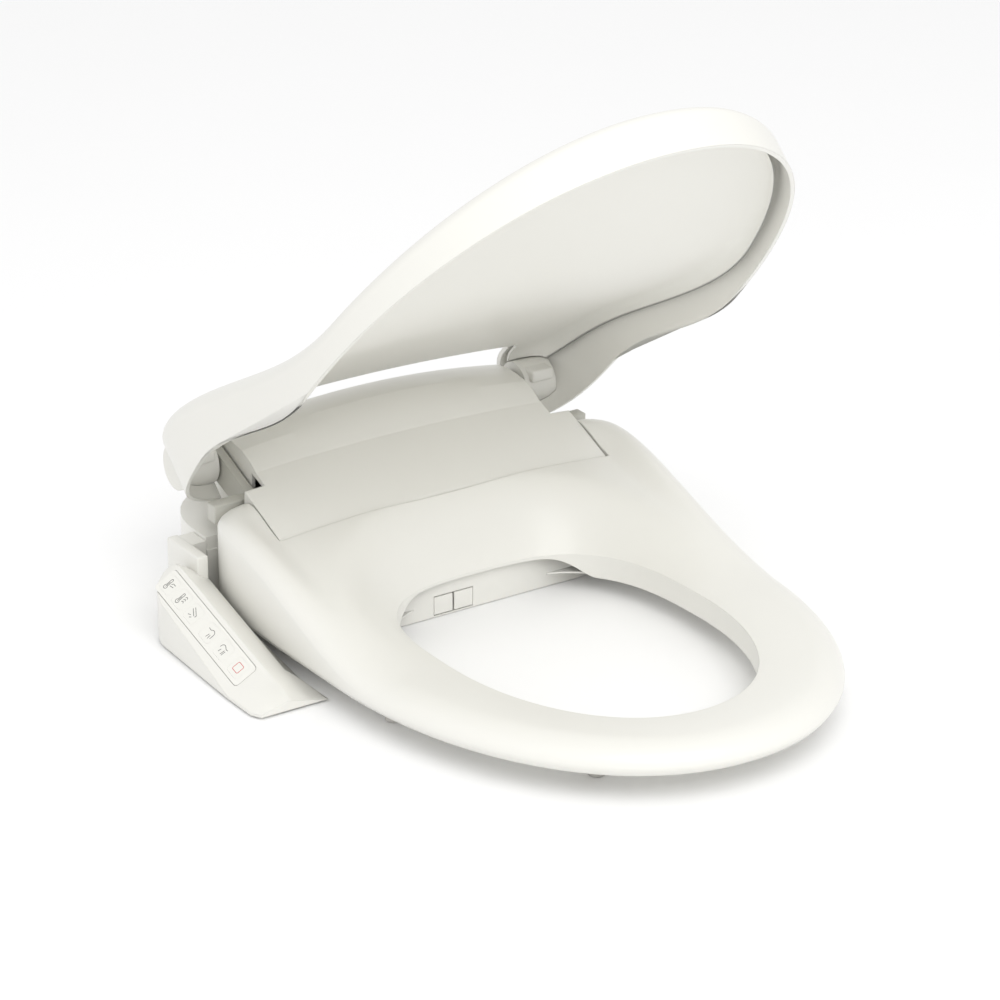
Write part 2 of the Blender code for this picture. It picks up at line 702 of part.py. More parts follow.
def make_mounting_plate():
    plate = slab("mounting_plate", rounded_rectangle(-0.086, 0.086, -0.030, 0.035, 0.006), 0.0, 0.0060)
    for side, x in (("left", -0.070), ("right", 0.070)):
        outline = rounded_rectangle(x - 0.0055, x + 0.0055, -0.016, 0.016, 0.0054)
        slot = slab(f"bolt_slot_{side}", outline, -0.01, 0.02)
        cut(plate, slot)
    rail = box("rail", (-0.045, -0.024, 0.004), (0.045, 0.029, 0.0089), 0.001)
    unite(plate, rail)
    finish_node(plate, "mounting_plate", "black_plastic")


RELEASE_CENTRE = Vector((0.16475, -0.0115, 0.0250))


def make_release_button():
    half = Vector((0.00475, 0.0060, 0.0050))
    button = box("release_button", RELEASE_CENTRE - half, RELEASE_CENTRE + half, 0.0012)
    finish_node(button, "release_button", "inner_plastic")


PAD_Y, PAD_X, PAD_HEIGHT = (-0.060, -0.034), (0.100, 0.128), 0.0022


def make_pads():
    for side, sign in (("left", -1), ("right", 1)):
        low, high = sided(PAD_X, sign)
        pad = box("pad", (low, PAD_Y[0], 0.0), (high, PAD_Y[1], PAD_HEIGHT), 0.0005)
        finish_node(pad, f"base_pad_{side}", "grey_rubber")


# Control arm

def ridge_z(y):
    return 0.014 + ARM_SLOPE * (y + 0.181)


def arm_section(y, outer_x, ridge, hollow):
    """The arm cut across: an inner wall, a shaded slope up to the ridge, the sloping face and a side."""
    wall, cover = (WALL, 0.0048) if hollow else (0.0, 0.0)
    foot = -0.010 if hollow else ARM_FOOT_Z
    edge = max(ARM_FOOT_Z + 0.002, ridge - FACE_SLOPE * (ARM_RIDGE_X - outer_x)) - cover
    inner_top = max(ARM_FOOT_Z + 0.0025, ridge - 0.012) - cover
    inner_x, outer_x = ARM_INNER_X - wall, outer_x + wall
    foot_x = inner_x if hollow else inner_x + ARM_FOOT_REACH * (1 - smoothstep(y, -0.150, -0.090))
    return [(foot_x, y, foot), (inner_x, y, inner_top), (ARM_RIDGE_X + 0.003, y, ridge - 0.0008 - cover),
            (ARM_RIDGE_X, y, ridge - cover), (outer_x, y, edge), (outer_x, y, foot)]


def arm_stations(hollow=False):
    """Sections from the arm's front end to its root, where it climbs to the housing's shoulder."""
    front = ARM_FRONT_Y + (WALL if hollow else 0.0)
    rear = ARM_REAR_Y - (WALL if hollow else 0.0)
    places = ((front, -0.2215, ridge_z(front) - 0.003), (front + 0.008, -0.2255, ridge_z(front + 0.008)),
              (-0.150, -0.2260, ridge_z(-0.150)), (-0.110, -0.2244, ridge_z(-0.110)),
              (-0.050, -0.2220, ridge_z(-0.050)), (-0.040, -0.2190, 0.0530),
              (-0.032, -0.2130, 0.0520), (rear, -0.2060, 0.0490))
    return [arm_section(y, outer_x, ridge, hollow) for y, outer_x, ridge in places]


def make_arm():
    arm = loft("arm_housing", arm_stations())
    low, high = ARM_FOOT_Z + 0.0006, SHOULDER_Z - 0.0015
    root = box("arm_root", (ROOT_X, -0.0455, low), (ARM_INNER_X, 0.0, high), 0.0015)
    corner = (-REAR_HALF_WIDTH - GAP, -0.001, high - 0.001)
    unite(root, box("arm_flange", (ROOT_X + 0.002, -0.0205, low + 0.001), corner))
    unite(arm, root)
    cut(arm, loft("arm_hollow", arm_stations(hollow=True)))
    cut(arm, oriented_box("panel_recess", PANEL_SIZE, PANEL_RECESS_DEPTH, 0.01))
    for name, along, across in KEYS:
        cut(arm, key_box(f"{name}_well", along, across, KEY_SIZE + 0.0012, -0.006, 0.01))
    finish_node(arm, "arm_housing", "white_plastic")


def make_arm_floor():
    outline = [(-0.1925, -0.1760), (-0.1828, -0.1600), (-0.1828, -0.0480), (-0.1890, -0.0480),
               (-0.1890, -0.0300), (-0.2010, -0.0300), (-0.2090, -0.0335), (-0.2150, -0.0415),
               (-0.2180, -0.0510), (-0.2195, -0.1100), (-0.2075, -0.1760)]
    floor = slab("arm_floor", outline, 0.0014, 0.0034)
    finish_node(floor, "arm_floor", "white_plastic")


def face_frame():
    """A frame on the arm's sloping face: X along the arm to the front, Y up the slope, Z out of the face."""
    forward = Vector((0, -1, -ARM_SLOPE)).normalized()
    downhill = Vector((-1, 0, -FACE_SLOPE)).normalized()
    normal = forward.cross(downhill)
    if normal.z < 0:
        normal.negate()
    normal.normalize()
    uphill = normal.cross(forward).normalized()
    y = FACE_MIDDLE_Y
    x = ARM_RIDGE_X - 0.0112
    origin = Vector((x, y, ridge_z(y) - FACE_SLOPE * (ARM_RIDGE_X - x)))
    frame = Matrix((forward, uphill, normal)).transposed().to_4x4()
    frame.translation = origin
    return frame


FACE_MIDDLE_Y = -0.0945
PANEL_SIZE = (0.120, 0.0200)
PANEL_THICKNESS_FACE = 0.0012
PANEL_RECESS_DEPTH = -0.0016
KEY_SIZE = 0.0130
KEYS = (("key_stop", 0.0480, 0.0), ("key_front", 0.0275, 0.0), ("key_rear", 0.0070, 0.0),
        ("key_position", -0.0160, 0.0), ("key_water_temp", -0.0335, 0.0), ("key_seat_temp", -0.0510, 0.0))


def oriented_box(name, size, low, high):
    """A box in the face's frame, between two depths along its normal."""
    outline = rounded_rectangle(-size[0] / 2, size[0] / 2, -size[1] / 2, size[1] / 2, 0.003, 3)
    obj = slab(name, outline, low, high)
    obj.data.transform(face_frame())
    return obj


def key_box(name, along, across, size, low, high):
    half = size / 2
    outline = rounded_rectangle(along - half, along + half, across - half, across + half, 0.0025, 3)
    obj = slab(name, outline, low, high)
    obj.data.transform(face_frame())
    return obj


def make_panel():
    size = (PANEL_SIZE[0] - 2 * GAP, PANEL_SIZE[1] - 2 * GAP)
    bottom = PANEL_RECESS_DEPTH + GAP
    top = bottom + PANEL_THICKNESS_FACE
    plate = oriented_box("control_panel", size, bottom, top)
    for name, along, across in KEYS:
        cut(plate, key_box(f"{name}_window", along, across, KEY_SIZE + 2 * GAP, -0.01, 0.01))
    finish_node(plate, "control_panel", "white_plastic")
    for name, along, across in KEYS:
        key = key_box(name, along, across, KEY_SIZE, -0.0042, top)
        finish_node(key, name, "white_plastic")


def make_control_board():
    outline = rounded_rectangle(-0.054, 0.054, -0.0075, 0.0075, 0.001, 2)
    board = slab("control_board", outline, -0.0070, -0.0058)
    board.data.transform(face_frame())
    finish_node(board, "control_board", "board_green")


# Inside the housing

def wand_frame(x):
    """A wand's frame at rest: its X runs down the wand towards the front, and its origin is its front end."""
    forward = Vector((0, -math.cos(WAND_TILT), -math.sin(WAND_TILT)))
    up = Vector((0, -math.sin(WAND_TILT), math.cos(WAND_TILT)))
    side = forward.cross(up)
    frame = Matrix((forward, -side, up)).transposed().to_4x4()
    behind = 0.0045
    frame.translation = Vector((x, NOSE_FRONT_Y + behind, WAND_EXIT_Z + behind * math.tan(WAND_TILT)))
    return frame


def along_wand(obj, x):
    obj.data.transform(wand_frame(x))
    return obj


RACK_HEIGHT, RACK_BACK, RACK_PITCH, RACK_TEETH = 0.0020, 0.0012, 0.0032, 19
PINION_TEETH, PINION_TIP, PINION_ROOT, PINION_X = 11, 0.0062, 0.0051, -0.068


def rack_outline():
    """The rack seen from the side: a bar with teeth on top. A gap between teeth sits under the pinion."""
    start = PINION_X - 18 * RACK_PITCH
    points = [(start, 0.0), (start, RACK_BACK)]
    for i in range(RACK_TEETH):
        x = start + (i + 0.25) * RACK_PITCH
        points += [(x, RACK_BACK), (x + 0.0005, RACK_HEIGHT)]
        points += [(x + 0.0011, RACK_HEIGHT), (x + 0.0016, RACK_BACK)]
    end = start + RACK_TEETH * RACK_PITCH
    return points + [(end, RACK_BACK), (end, 0.0)]


def make_wand(name, x):
    tube = rod("tube", WAND_RADIUS, -WAND_LENGTH, 0.0, "X", (0.0, 0.0), 20)
    hole = rod("spray_hole", 0.0012, 0.0, 0.02, "Z", (-0.010, 0.0), 10)
    bore = rod("water_bore", 0.0022, -WAND_LENGTH - 0.01, -0.006, "X", (0.0, 0.0), 12)
    for part in (tube, hole, bore):
        along_wand(part, x)
    cut(tube, bore, hole)
    finish_node(tube, f"{name}_wand", "inner_plastic")

    rack = prism_x("rack", [(u, z) for u, z in rack_outline()], -0.002, 0.002)
    rack.data.transform(Matrix.Rotation(-math.pi / 2, 4, "Z"))
    rack.data.transform(Matrix.Translation((0, 0, WAND_RADIUS + 0.0003)))
    along_wand(rack, x)
    finish_node(rack, f"{name}_rack", "black_plastic")


def make_wand_cap(name, x):
    """The flat end of a wand, flush with the housing's front wall."""
    low, high = x - 0.0080, x + 0.0080
    cap = box("cap", (low, NOSE_FRONT_Y - 0.0002, 0.0019), (high, NOSE_FRONT_Y + 0.0014, 0.0159), 0.0005)
    finish_node(cap, f"{name}_wand_cap", "white_plastic")


def pinion_centre(x):
    height = WAND_RADIUS + GAP + RACK_BACK + GAP + PINION_TIP
    return wand_frame(x) @ Vector((PINION_X, 0, height))


def make_drive(name, x, sign):
    """A toothed pinion over the rack, on the shaft of its stepper motor."""
    down = math.atan2(-math.cos(WAND_TILT), math.sin(WAND_TILT))
    outline = []
    for i in range(PINION_TEETH):
        tooth = ((-0.25, PINION_ROOT), (-0.1, PINION_TIP), (0.1, PINION_TIP), (0.25, PINION_ROOT))
        for part, radius in tooth:
            a = down + 2 * math.pi * (i + part) / PINION_TEETH
            outline.append((radius * math.cos(a), radius * math.sin(a)))
    centre = pinion_centre(x)
    pinion = prism_x("pinion", outline, -0.002, 0.002)
    shaft = rod("pinion_shaft", 0.0021, -0.0015, 0.0080, "X", (0, 0), 12)
    if sign < 0:
        shaft.data.transform(Matrix.Translation((-0.0065, 0, 0)))
    unite(pinion, shaft)
    for part in (pinion, shaft):
        part.data.transform(Matrix.Translation(centre))
    finish_node(pinion, f"{name}_pinion", "white_plastic")

    start, end = sorted((x + sign * 0.0088, x + sign * 0.0258))
    body = rod("motor", 0.0125, start, end, "X", (centre.y, centre.z + 0.004), 28)
    cut(body, rod("motor_bore", 0.0027, start - 0.01, end - 0.004 if sign > 0 else end + 0.01, "X",
                  (centre.y, centre.z), 12))
    finish_node(body, f"{name}_motor", "steel")


def make_wand_guide():
    """The channel that both wands slide in."""
    length = WAND_LENGTH - 0.010
    block = box("guide", (-length, -0.0160, -WAND_RADIUS - 0.0035), (-0.012, 0.0160, -0.0015))
    along_wand(block, WAND_CENTRE_X)
    for sign in (-1, 1):
        bore = rod("guide_bore", WAND_RADIUS + 0.0004, -0.2, 0.1, "X", (0, 0), 20)
        cut(block, along_wand(bore, WAND_CENTRE_X + sign * WAND_X))
    floor_cut = box("guide_floor", (-0.1, -0.2, -0.1), (0.1, 0.1, 0.0018))
    cut(block, floor_cut)
    finish_node(block, "wand_guide", "black_plastic")


def make_boards_and_tank():
    board = box("main_board", (-0.116, -0.050, 0.0420), (-0.058, 0.030, 0.0436))
    cut(board, box("board_corner", (-0.14, -0.06, 0.04), (-0.10, -0.042, 0.06)))
    finish_node(board, "main_board", "board_green")
    supply = box("supply", (-0.112, -0.012, 0.0125), (-0.062, 0.044, 0.0400), 0.002)
    finish_node(supply, "power_supply", "black_plastic")

    tank = box("water_tank", (0.030, -0.060, 0.0125), (0.090, 0.046, 0.0580), 0.006)
    spout = rod("tank_spout", 0.0035, 0.020, 0.040, "X", (-0.045, 0.030), 14)
    unite(tank, spout)
    finish_node(tank, "water_tank", "inner_plastic")


def make_water_path():
    valve = box("inlet_valve", (0.0950, 0.012, 0.0150), (0.1220, 0.036, 0.0370), 0.002)
    coil = rod("valve_coil", 0.0085, 0.0360, 0.0580, "Z", (0.1080, 0.024), 20)
    unite(valve, coil)
    finish_node(valve, "inlet_valve", "blue_plastic")

    fitting = rod("fitting", 0.0092, 0.0370, 0.0745, "Y", (0.1060, 0.026), 24)
    nut = rod("fitting_nut", 0.0122, 0.0620, 0.0690, "Y", (0.1060, 0.026), 6)
    unite(fitting, nut)
    cut(fitting, rod("fitting_bore", 0.0050, 0.050, 0.09, "Y", (0.1060, 0.026), 16))
    finish_node(fitting, "water_inlet", "brass")

    gland = rod("gland", 0.0064, 0.0520, 0.0620, "Y", (-0.1080, 0.026), 20)
    relief = rod("relief", 0.0090, 0.0613, 0.0700, "Y", (-0.1080, 0.026), 20, 0.0065)
    unite(gland, relief)
    cut(gland, rod("gland_bore", 0.0036, 0.04, 0.09, "Y", (-0.1080, 0.026), 14))
    finish_node(gland, "cord_gland", "black_plastic")

    spots = [(x, 0.024, 0.0300) for x in (0.0946, 0.0925, 0.0904)]
    hose = bent_tube("valve_hose", spots, 0.0022)
    finish_node(hose, "valve_hose", "blue_plastic")


def bent_tube(name, points, radius):
    """A round tube through a few points, as a mesh with closed ends."""
    curve = bpy.data.curves.new(name, "CURVE")
    curve.dimensions = "3D"
    curve.bevel_depth = radius
    curve.bevel_resolution = 2
    curve.use_fill_caps = True
    spline = curve.splines.new("POLY")
    spline.points.add(len(points) - 1)
    for point, spot in zip(spline.points, points):
        point.co = (*spot, 1.0)
    source = bpy.data.objects.new(f"{name}_path", curve)
    collection(PARTS).objects.link(source)
    bpy.context.view_layer.update()
    graph = bpy.context.evaluated_depsgraph_get()
    mesh = bpy.data.meshes.new_from_object(source.evaluated_get(graph))
    bm = bmesh.new()
    bm.from_mesh(mesh)
    bmesh.ops.remove_doubles(bm, verts=bm.verts, dist=0.00001)
    bm.to_mesh(mesh)
    bm.free()
    bpy.data.objects.remove(source, do_unlink=True)
    obj = bpy.data.objects.new(name, mesh)
    collection(PARTS).objects.link(obj)
    return obj


def hang_moving_pieces():
    """Puts the origin of every moving piece on its joint's axis."""
    sides = ("left", "right")
    on_axis = ["lid_shell", "lid_panel", "lid_shaft", "seat_shaft", "seat_top", "seat_base", "seat_heater"]
    on_axis += [f"{kind}_hinge_{side}" for kind in ("lid", "seat") for side in sides]
    on_axis += [f"seat_bumper_{spot}" for spot in BUMPERS]
    hang(on_axis, (0.0, HINGE_Y, HINGE_Z))
    for name, x in (("rear", WAND_CENTRE_X - WAND_X), ("front", WAND_CENTRE_X + WAND_X)):
        hang([f"{name}_wand", f"{name}_rack", f"{name}_wand_cap"], wand_frame(x).translation)
        hang([f"{name}_pinion"], pinion_centre(x))
    for name, along, across in KEYS:
        hang([name], face_frame() @ Vector((along, across, 0.0)))
    hang(["release_button"], RELEASE_CENTRE)


def main():
    clear_scene()
    make_lower_casing()
    make_upper_cover()
    make_mounting_plate()
    make_release_button()
    make_pads()
    make_arm()
    make_arm_floor()
    make_panel()
    make_control_board()
    make_seat()
    make_seat_heater()
    make_seat_bumpers()
    make_seat_hinges()
    make_lid()
    make_lid_panel()
    make_lid_hinges()
    make_shafts()
    make_dampers()
    make_wand_guide()
    for name, x, sign in (("rear", WAND_CENTRE_X - WAND_X, -1), ("front", WAND_CENTRE_X + WAND_X, 1)):
        make_wand(name, x)
        make_wand_cap(name, x)
        make_drive(name, x, sign)
    make_boards_and_tank()
    make_water_path()
    hang_moving_pieces()


main()
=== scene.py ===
"""Electric bidet seat: the finished look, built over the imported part. Metres, +Z up, control arm on -X."""

import json
import math

import bmesh
import bpy
from mathutils import Matrix, Vector

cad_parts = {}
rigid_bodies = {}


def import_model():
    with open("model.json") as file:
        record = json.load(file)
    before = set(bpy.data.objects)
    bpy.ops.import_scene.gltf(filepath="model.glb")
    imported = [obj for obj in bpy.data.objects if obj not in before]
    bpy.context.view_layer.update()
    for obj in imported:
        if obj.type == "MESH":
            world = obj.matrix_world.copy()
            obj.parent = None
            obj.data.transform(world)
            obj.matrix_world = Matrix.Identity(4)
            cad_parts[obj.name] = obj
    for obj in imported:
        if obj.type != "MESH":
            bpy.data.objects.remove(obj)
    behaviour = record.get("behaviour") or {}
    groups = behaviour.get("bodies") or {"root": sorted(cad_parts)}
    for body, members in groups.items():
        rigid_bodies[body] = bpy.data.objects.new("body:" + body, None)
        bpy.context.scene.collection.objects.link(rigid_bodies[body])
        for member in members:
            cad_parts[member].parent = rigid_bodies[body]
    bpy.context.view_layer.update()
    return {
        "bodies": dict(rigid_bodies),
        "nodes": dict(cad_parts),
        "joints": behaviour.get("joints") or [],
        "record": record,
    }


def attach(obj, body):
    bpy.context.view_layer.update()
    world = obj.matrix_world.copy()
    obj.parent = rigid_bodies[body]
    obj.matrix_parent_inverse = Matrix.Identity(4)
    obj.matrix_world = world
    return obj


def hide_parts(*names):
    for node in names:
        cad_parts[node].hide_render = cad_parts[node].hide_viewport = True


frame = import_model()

# Driving dimensions
GAP = 0.0003                    # between touching pieces
WALL = 0.003                    # thickness of the moulded casings

HINGE_Y, HINGE_Z = 0.033, 0.095  # one axis for seat and lid
LID_REST = math.radians(47)     # how far the lid stands open

SEAT_HALF_WIDTH = 0.175
SEAT_FRONT_Y, SEAT_WIDEST_Y, SEAT_REAR_Y = -0.462, -0.205, -0.025
SEAT_BOTTOM_Z, SEAT_FRONT_Z, SEAT_REAR_Z = 0.013, 0.036, 0.089
SEAT_TUCK, SEAT_RISE, LIP_Z = 0.009, 0.020, 0.031   # inset of the lower edge, rise to the front, inner lip
RAMP_FRONT_Y, RAMP_REAR_Y = -0.262, -0.045
OPENING_HALF_WIDTH = 0.106
OPENING_FRONT_Y, OPENING_WIDEST_Y, OPENING_REAR_Y = -0.402, -0.245, -0.122

LID_HALF_WIDTH = 0.181
LID_FRONT_Y, LID_WIDEST_Y, LID_REAR_Y = -0.471, -0.200, 0.046
LID_WALL = 0.0035
LID_NOTCH_HALF_WIDTH, LID_NOTCH_Y = 0.1335, 0.008

TONGUE_HALF_WIDTH, TONGUE_FRONT_Y = 0.141, -0.082
TONGUE_REAR_Y = -0.0262
SPINE_HALF_WIDTH, CREASE_Y = 0.124, -0.019
HOUSING_REAR_Y, SHOULDER_Z = 0.061, 0.060
REAR_HALF_WIDTH, REAR_CORNER = 0.167, (0.050, 0.062)
NOSE_HALF_WIDTH, NOSE_FRONT_Y, NOSE_STEP_Y = 0.137, -0.117, -0.101
NOSE_TOP_Z, NOSE_LIP_Z = 0.050, 0.027

ARM_INNER_X, ARM_RIDGE_X = -0.1795, -0.200
ARM_FRONT_Y, ARM_REAR_Y = -0.190, -0.026
ARM_FOOT_Z, ROOT_X = 0.0012, -0.1885
ARM_FOOT_REACH = 0.0115          # how far the arm's inner foot reaches under the seat
ARM_SLOPE, FACE_SLOPE = 0.28, 0.75   # fall of the arm towards its front, and of its face outwards

WAND_X, WAND_CENTRE_X = 0.0086, -0.018   # half the space between the two wands, and where its middle is


# Plain shapes

BEVEL_SEGMENTS = 4
ROUND_SIDES = 64


def mesh_object(name, mesh_builder):
    mesh = bpy.data.meshes.new(name)
    bm = bmesh.new()
    mesh_builder(bm)
    bmesh.ops.recalc_face_normals(bm, faces=bm.faces)
    bm.to_mesh(mesh)
    bm.free()
    obj = bpy.data.objects.new(name, mesh)
    collection(PARTS).objects.link(obj)
    return obj


def box(name, low, high, bevel=0.0):
    """A box between two corners, with all its edges rounded by bevel."""
    size = [b - a for a, b in zip(low, high)]
    middle = [(a + b) / 2 for a, b in zip(low, high)]

    def build(bm):
        bmesh.ops.create_cube(bm, size=1.0)
        bmesh.ops.scale(bm, vec=size, verts=bm.verts)
        bmesh.ops.translate(bm, vec=middle, verts=bm.verts)

    obj = mesh_object(name, build)
    if bevel:
        rounding = obj.modifiers.new("rounding", "BEVEL")
        rounding.width = bevel
        rounding.segments = BEVEL_SEGMENTS
    return obj


AXES = {"X": Matrix.Rotation(math.pi / 2, 4, "Y"), "Y": Matrix.Rotation(-math.pi / 2, 4, "X"), "Z": Matrix()}


def rod(name, radius, start, end, axis, across=(0.0, 0.0), sides=ROUND_SIDES, end_radius=None):
    """A cylinder or cone along X, Y or Z from start to end; across holds the other two coordinates."""
    middle = (start + end) / 2
    spots = {"X": (middle, *across), "Y": (across[0], middle, across[1]), "Z": (*across, middle)}
    far = radius if end_radius is None else end_radius

    def build(bm):
        bmesh.ops.create_cone(bm, cap_ends=True, segments=sides, radius1=radius, radius2=far,
                              depth=end - start, matrix=Matrix.Translation(spots[axis]) @ AXES[axis])

    return mesh_object(name, build)


def on_hinge(name, radius, start, end, sides=ROUND_SIDES):
    """A cylinder round the axis that the seat and the lid share."""
    return rod(name, radius, start, end, "X", (HINGE_Y, HINGE_Z), sides)


def slab(name, outline, bottom, top):
    """A flat outline in XY, a list of points going round it, extruded between two heights."""

    def build(bm):
        low = [bm.verts.new((x, y, bottom)) for x, y in outline]
        face = bm.faces.new(low)
        raised = bmesh.ops.extrude_face_region(bm, geom=[face])
        verts = [v for v in raised["geom"] if isinstance(v, bmesh.types.BMVert)]
        bmesh.ops.translate(bm, vec=(0, 0, top - bottom), verts=verts)

    return mesh_object(name, build)


def loft(name, rings, closed=False):
    """A skin over rings of equal length. Open rings are capped; closed joins the last ring to the first."""

    def build(bm):
        rows = [[bm.verts.new(p) for p in ring] for ring in rings]
        count = len(rows[0])
        pairs = zip(rows, rows[1:] + rows[:1]) if closed else zip(rows, rows[1:])
        for one, two in pairs:
            for i in range(count):
                j = (i + 1) % count
                bm.faces.new((one[i], one[j], two[j], two[i]))
        if not closed:
            bm.faces.new(rows[0])
            bm.faces.new(rows[-1])

    return mesh_object(name, build)


def rounded_rectangle(x0, x1, y0, y1, radius, steps=12):
    """The outline of a rectangle whose corners are arcs of so many steps."""
    points = []
    corners = ((x1 - radius, y1 - radius, 0), (x0 + radius, y1 - radius, 90),
               (x0 + radius, y0 + radius, 180), (x1 - radius, y0 + radius, 270))
    for cx, cy, start in corners:
        for i in range(steps + 1):
            a = math.radians(start + 90 * i / steps)
            points.append((cx + radius * math.cos(a), cy + radius * math.sin(a)))
    return points


# Outlines of seat, opening and lid

CENTRE = Vector((0.0, -0.225))   # the rays that trace every egg outline start here
RAYS = 240
FRONT_POWER = 2.1                # roundness of the front halves
SEAT_REAR_POWER, OPENING_REAR_POWER, LID_REAR_POWER = 12.0, 3.0, 8.0
HALVINGS = 40                    # of the stretch that holds the outline


def smoothstep(value, low, high):
    t = min(1.0, max(0.0, (value - low) / (high - low)))
    return t * t * (3 - 2 * t)


def egg_radius(angle, half_width, front, widest, rear, front_power, rear_power):
    """Distance from CENTRE to an egg outline along a ray. Its halves meet at the widest line."""
    direction = Vector((math.cos(angle), math.sin(angle)))

    def outside(distance):
        x, y = CENTRE + direction * distance
        y -= widest
        reach, power = (rear - widest, rear_power) if y > 0 else (widest - front, front_power)
        return abs(x / half_width) ** power + abs(y / reach) ** power > 1

    near, far = 0.0, 1.0
    for _ in range(HALVINGS):
        middle = (near + far) / 2
        near, far = (near, middle) if outside(middle) else (middle, far)
    return near


def seat_edge(angle):
    return egg_radius(angle, SEAT_HALF_WIDTH, SEAT_FRONT_Y, SEAT_WIDEST_Y, SEAT_REAR_Y,
                      FRONT_POWER, SEAT_REAR_POWER)


def opening_edge(angle):
    return egg_radius(angle, OPENING_HALF_WIDTH, OPENING_FRONT_Y, OPENING_WIDEST_Y, OPENING_REAR_Y,
                      FRONT_POWER, OPENING_REAR_POWER)


def lid_edge(angle):
    return egg_radius(angle, LID_HALF_WIDTH, LID_FRONT_Y, LID_WIDEST_Y, LID_REAR_Y,
                      FRONT_POWER, LID_REAR_POWER)


def angles():
    return [2 * math.pi * i / RAYS for i in range(RAYS)]


def egg_outline(edge, grow):
    return [tuple(at(angle, edge(angle) + grow, 0.0).xy) for angle in angles()]


def at(angle, distance, z):
    """The point at a height, so far out from CENTRE along a ray."""
    return Vector((CENTRE.x + distance * math.cos(angle), CENTRE.y + distance * math.sin(angle), z))


# Seat

DIP_DEPTH, DIP_CROWN = 0.0100, 0.0065
DIP_FRONT_Y, DIP_REAR_Y, DIP_OUTER_X = -0.20, -0.038, 0.168
EDGE_ROUNDING, EDGE_REACH = 0.014, 0.0235        # depth and width of the rounded outer edge
DISH_REACH, DISH_POWER = 0.046, 1.7              # the dish round the opening
RISE_START_Y = -0.130                            # the seat rises towards the front from here
FLOOR_LIFT = (0.0155, -0.150, -0.126)            # height, and the stretch of y over which it comes in
WALL_TOP = 0.0085                                # where the outer wall ends, over the lower edge


def ramp(y):
    """The share of the climb from the front of the seat to its rear."""
    return smoothstep(y, RAMP_FRONT_Y, RAMP_REAR_Y)


def seat_dip(x, y):
    """How far the seat dips between its raised rear corners to meet the tongue, which is crowned."""
    near = smoothstep(y, DIP_FRONT_Y, TONGUE_FRONT_Y) * (1 - smoothstep(y, TONGUE_FRONT_Y, DIP_REAR_Y))
    across = 1 - smoothstep(abs(x), TONGUE_HALF_WIDTH, DIP_OUTER_X)
    crown = max(0.0, 1 - (x / TONGUE_HALF_WIDTH) ** 2)
    return near * (DIP_DEPTH * across - DIP_CROWN * crown)


def seat_top(angle, distance):
    """Height of the sitting surface: the ramp, rounded at its outer edge and dished towards the opening."""
    y = CENTRE.y + distance * math.sin(angle)
    x = CENTRE.x + distance * math.cos(angle)
    crest = SEAT_FRONT_Z + (SEAT_REAR_Z - SEAT_FRONT_Z) * ramp(y) - seat_dip(x, y)
    inward = max(0.0, 1 - (distance - opening_edge(angle)) / DISH_REACH)
    outward = min(1.0, max(0.0, 1 - (seat_edge(angle) - distance) / EDGE_REACH))
    dished = crest - (crest - LIP_Z) * inward ** DISH_POWER
    return dished - EDGE_ROUNDING * (1 - math.sqrt(1 - outward ** 2))


def seat_floor(angle):
    """Height of the seat's lower edge round the opening: it lifts over the nozzle housing."""
    y = CENTRE.y + opening_edge(angle) * math.sin(angle)
    lift, start, end = FLOOR_LIFT
    return SEAT_BOTTOM_Z + lift * smoothstep(y, start, end)


def raised(obj):
    """Tilts a piece of the seat with the whole seat, whose front stands a little higher than its back."""
    for vertex in obj.data.vertices:
        vertex.co.z += seat_rise(vertex.co.y)
    return obj


def seat_rise(y):
    return SEAT_RISE * max(0.0, RISE_START_Y - y)


SECTION_STEPS = 44
SEAT_SHARES = [0.5 - 0.5 * math.cos(math.pi * i / SECTION_STEPS) for i in range(SECTION_STEPS + 1)]
TUCK = ((1.0, 0.0), (0.45, 0.0025), (0.12, 0.0065))     # share of the inset, height above the lower edge


def seat_ring(name, inset, bottom_drop=0.0):
    """The ring's solid. With an inset it is the same ring that much smaller all round, for hollowing."""
    rings = []
    for angle in angles():
        outer, inner = seat_edge(angle) - inset, opening_edge(angle) + inset
        ring = []
        if bottom_drop:
            ring.append(at(angle, outer - SEAT_TUCK, SEAT_BOTTOM_Z - bottom_drop))
        for share, height in TUCK:
            ring.append(at(angle, outer - SEAT_TUCK * share, SEAT_BOTTOM_Z + height))
        ring.append(at(angle, outer, SEAT_BOTTOM_Z + WALL_TOP))
        for share in SEAT_SHARES[1:]:
            distance = outer + (inner - outer) * share
            ring.append(at(angle, distance, seat_top(angle, distance) - inset))
        ring.append(at(angle, inner, seat_floor(angle) - bottom_drop))
        rings.append(ring)
    return raised(loft(name, rings, closed=True))


NOTCH_GAP = 0.0015               # between the tongue and the seat


def tongue_notch(name, grow=0.0):
    """The space that the housing's tongue takes out of the seat's rear."""
    half = TONGUE_HALF_WIDTH + NOTCH_GAP + grow
    return box(name, (-half, TONGUE_FRONT_Y - NOTCH_GAP - grow, -0.1), (half, 0.1, 0.2))


def nose_reliefs(name):
    """The space over the stepped nozzle housing, under the seat's rear bridge."""
    clear = 0.003
    half = NOSE_HALF_WIDTH + clear
    high = plan_box(f"{name}_high", half, NOSE_STEP_Y - 0.004, 0.1, -0.1, NOSE_TOP_Z + clear)
    low = plan_box(f"{name}_low", half, NOSE_FRONT_Y - 0.0035, 0.1, -0.1, NOSE_LIP_Z + 0.002)
    return high, low


SEAT_WALL = 0.003
BASE_THICKNESS = 0.0025


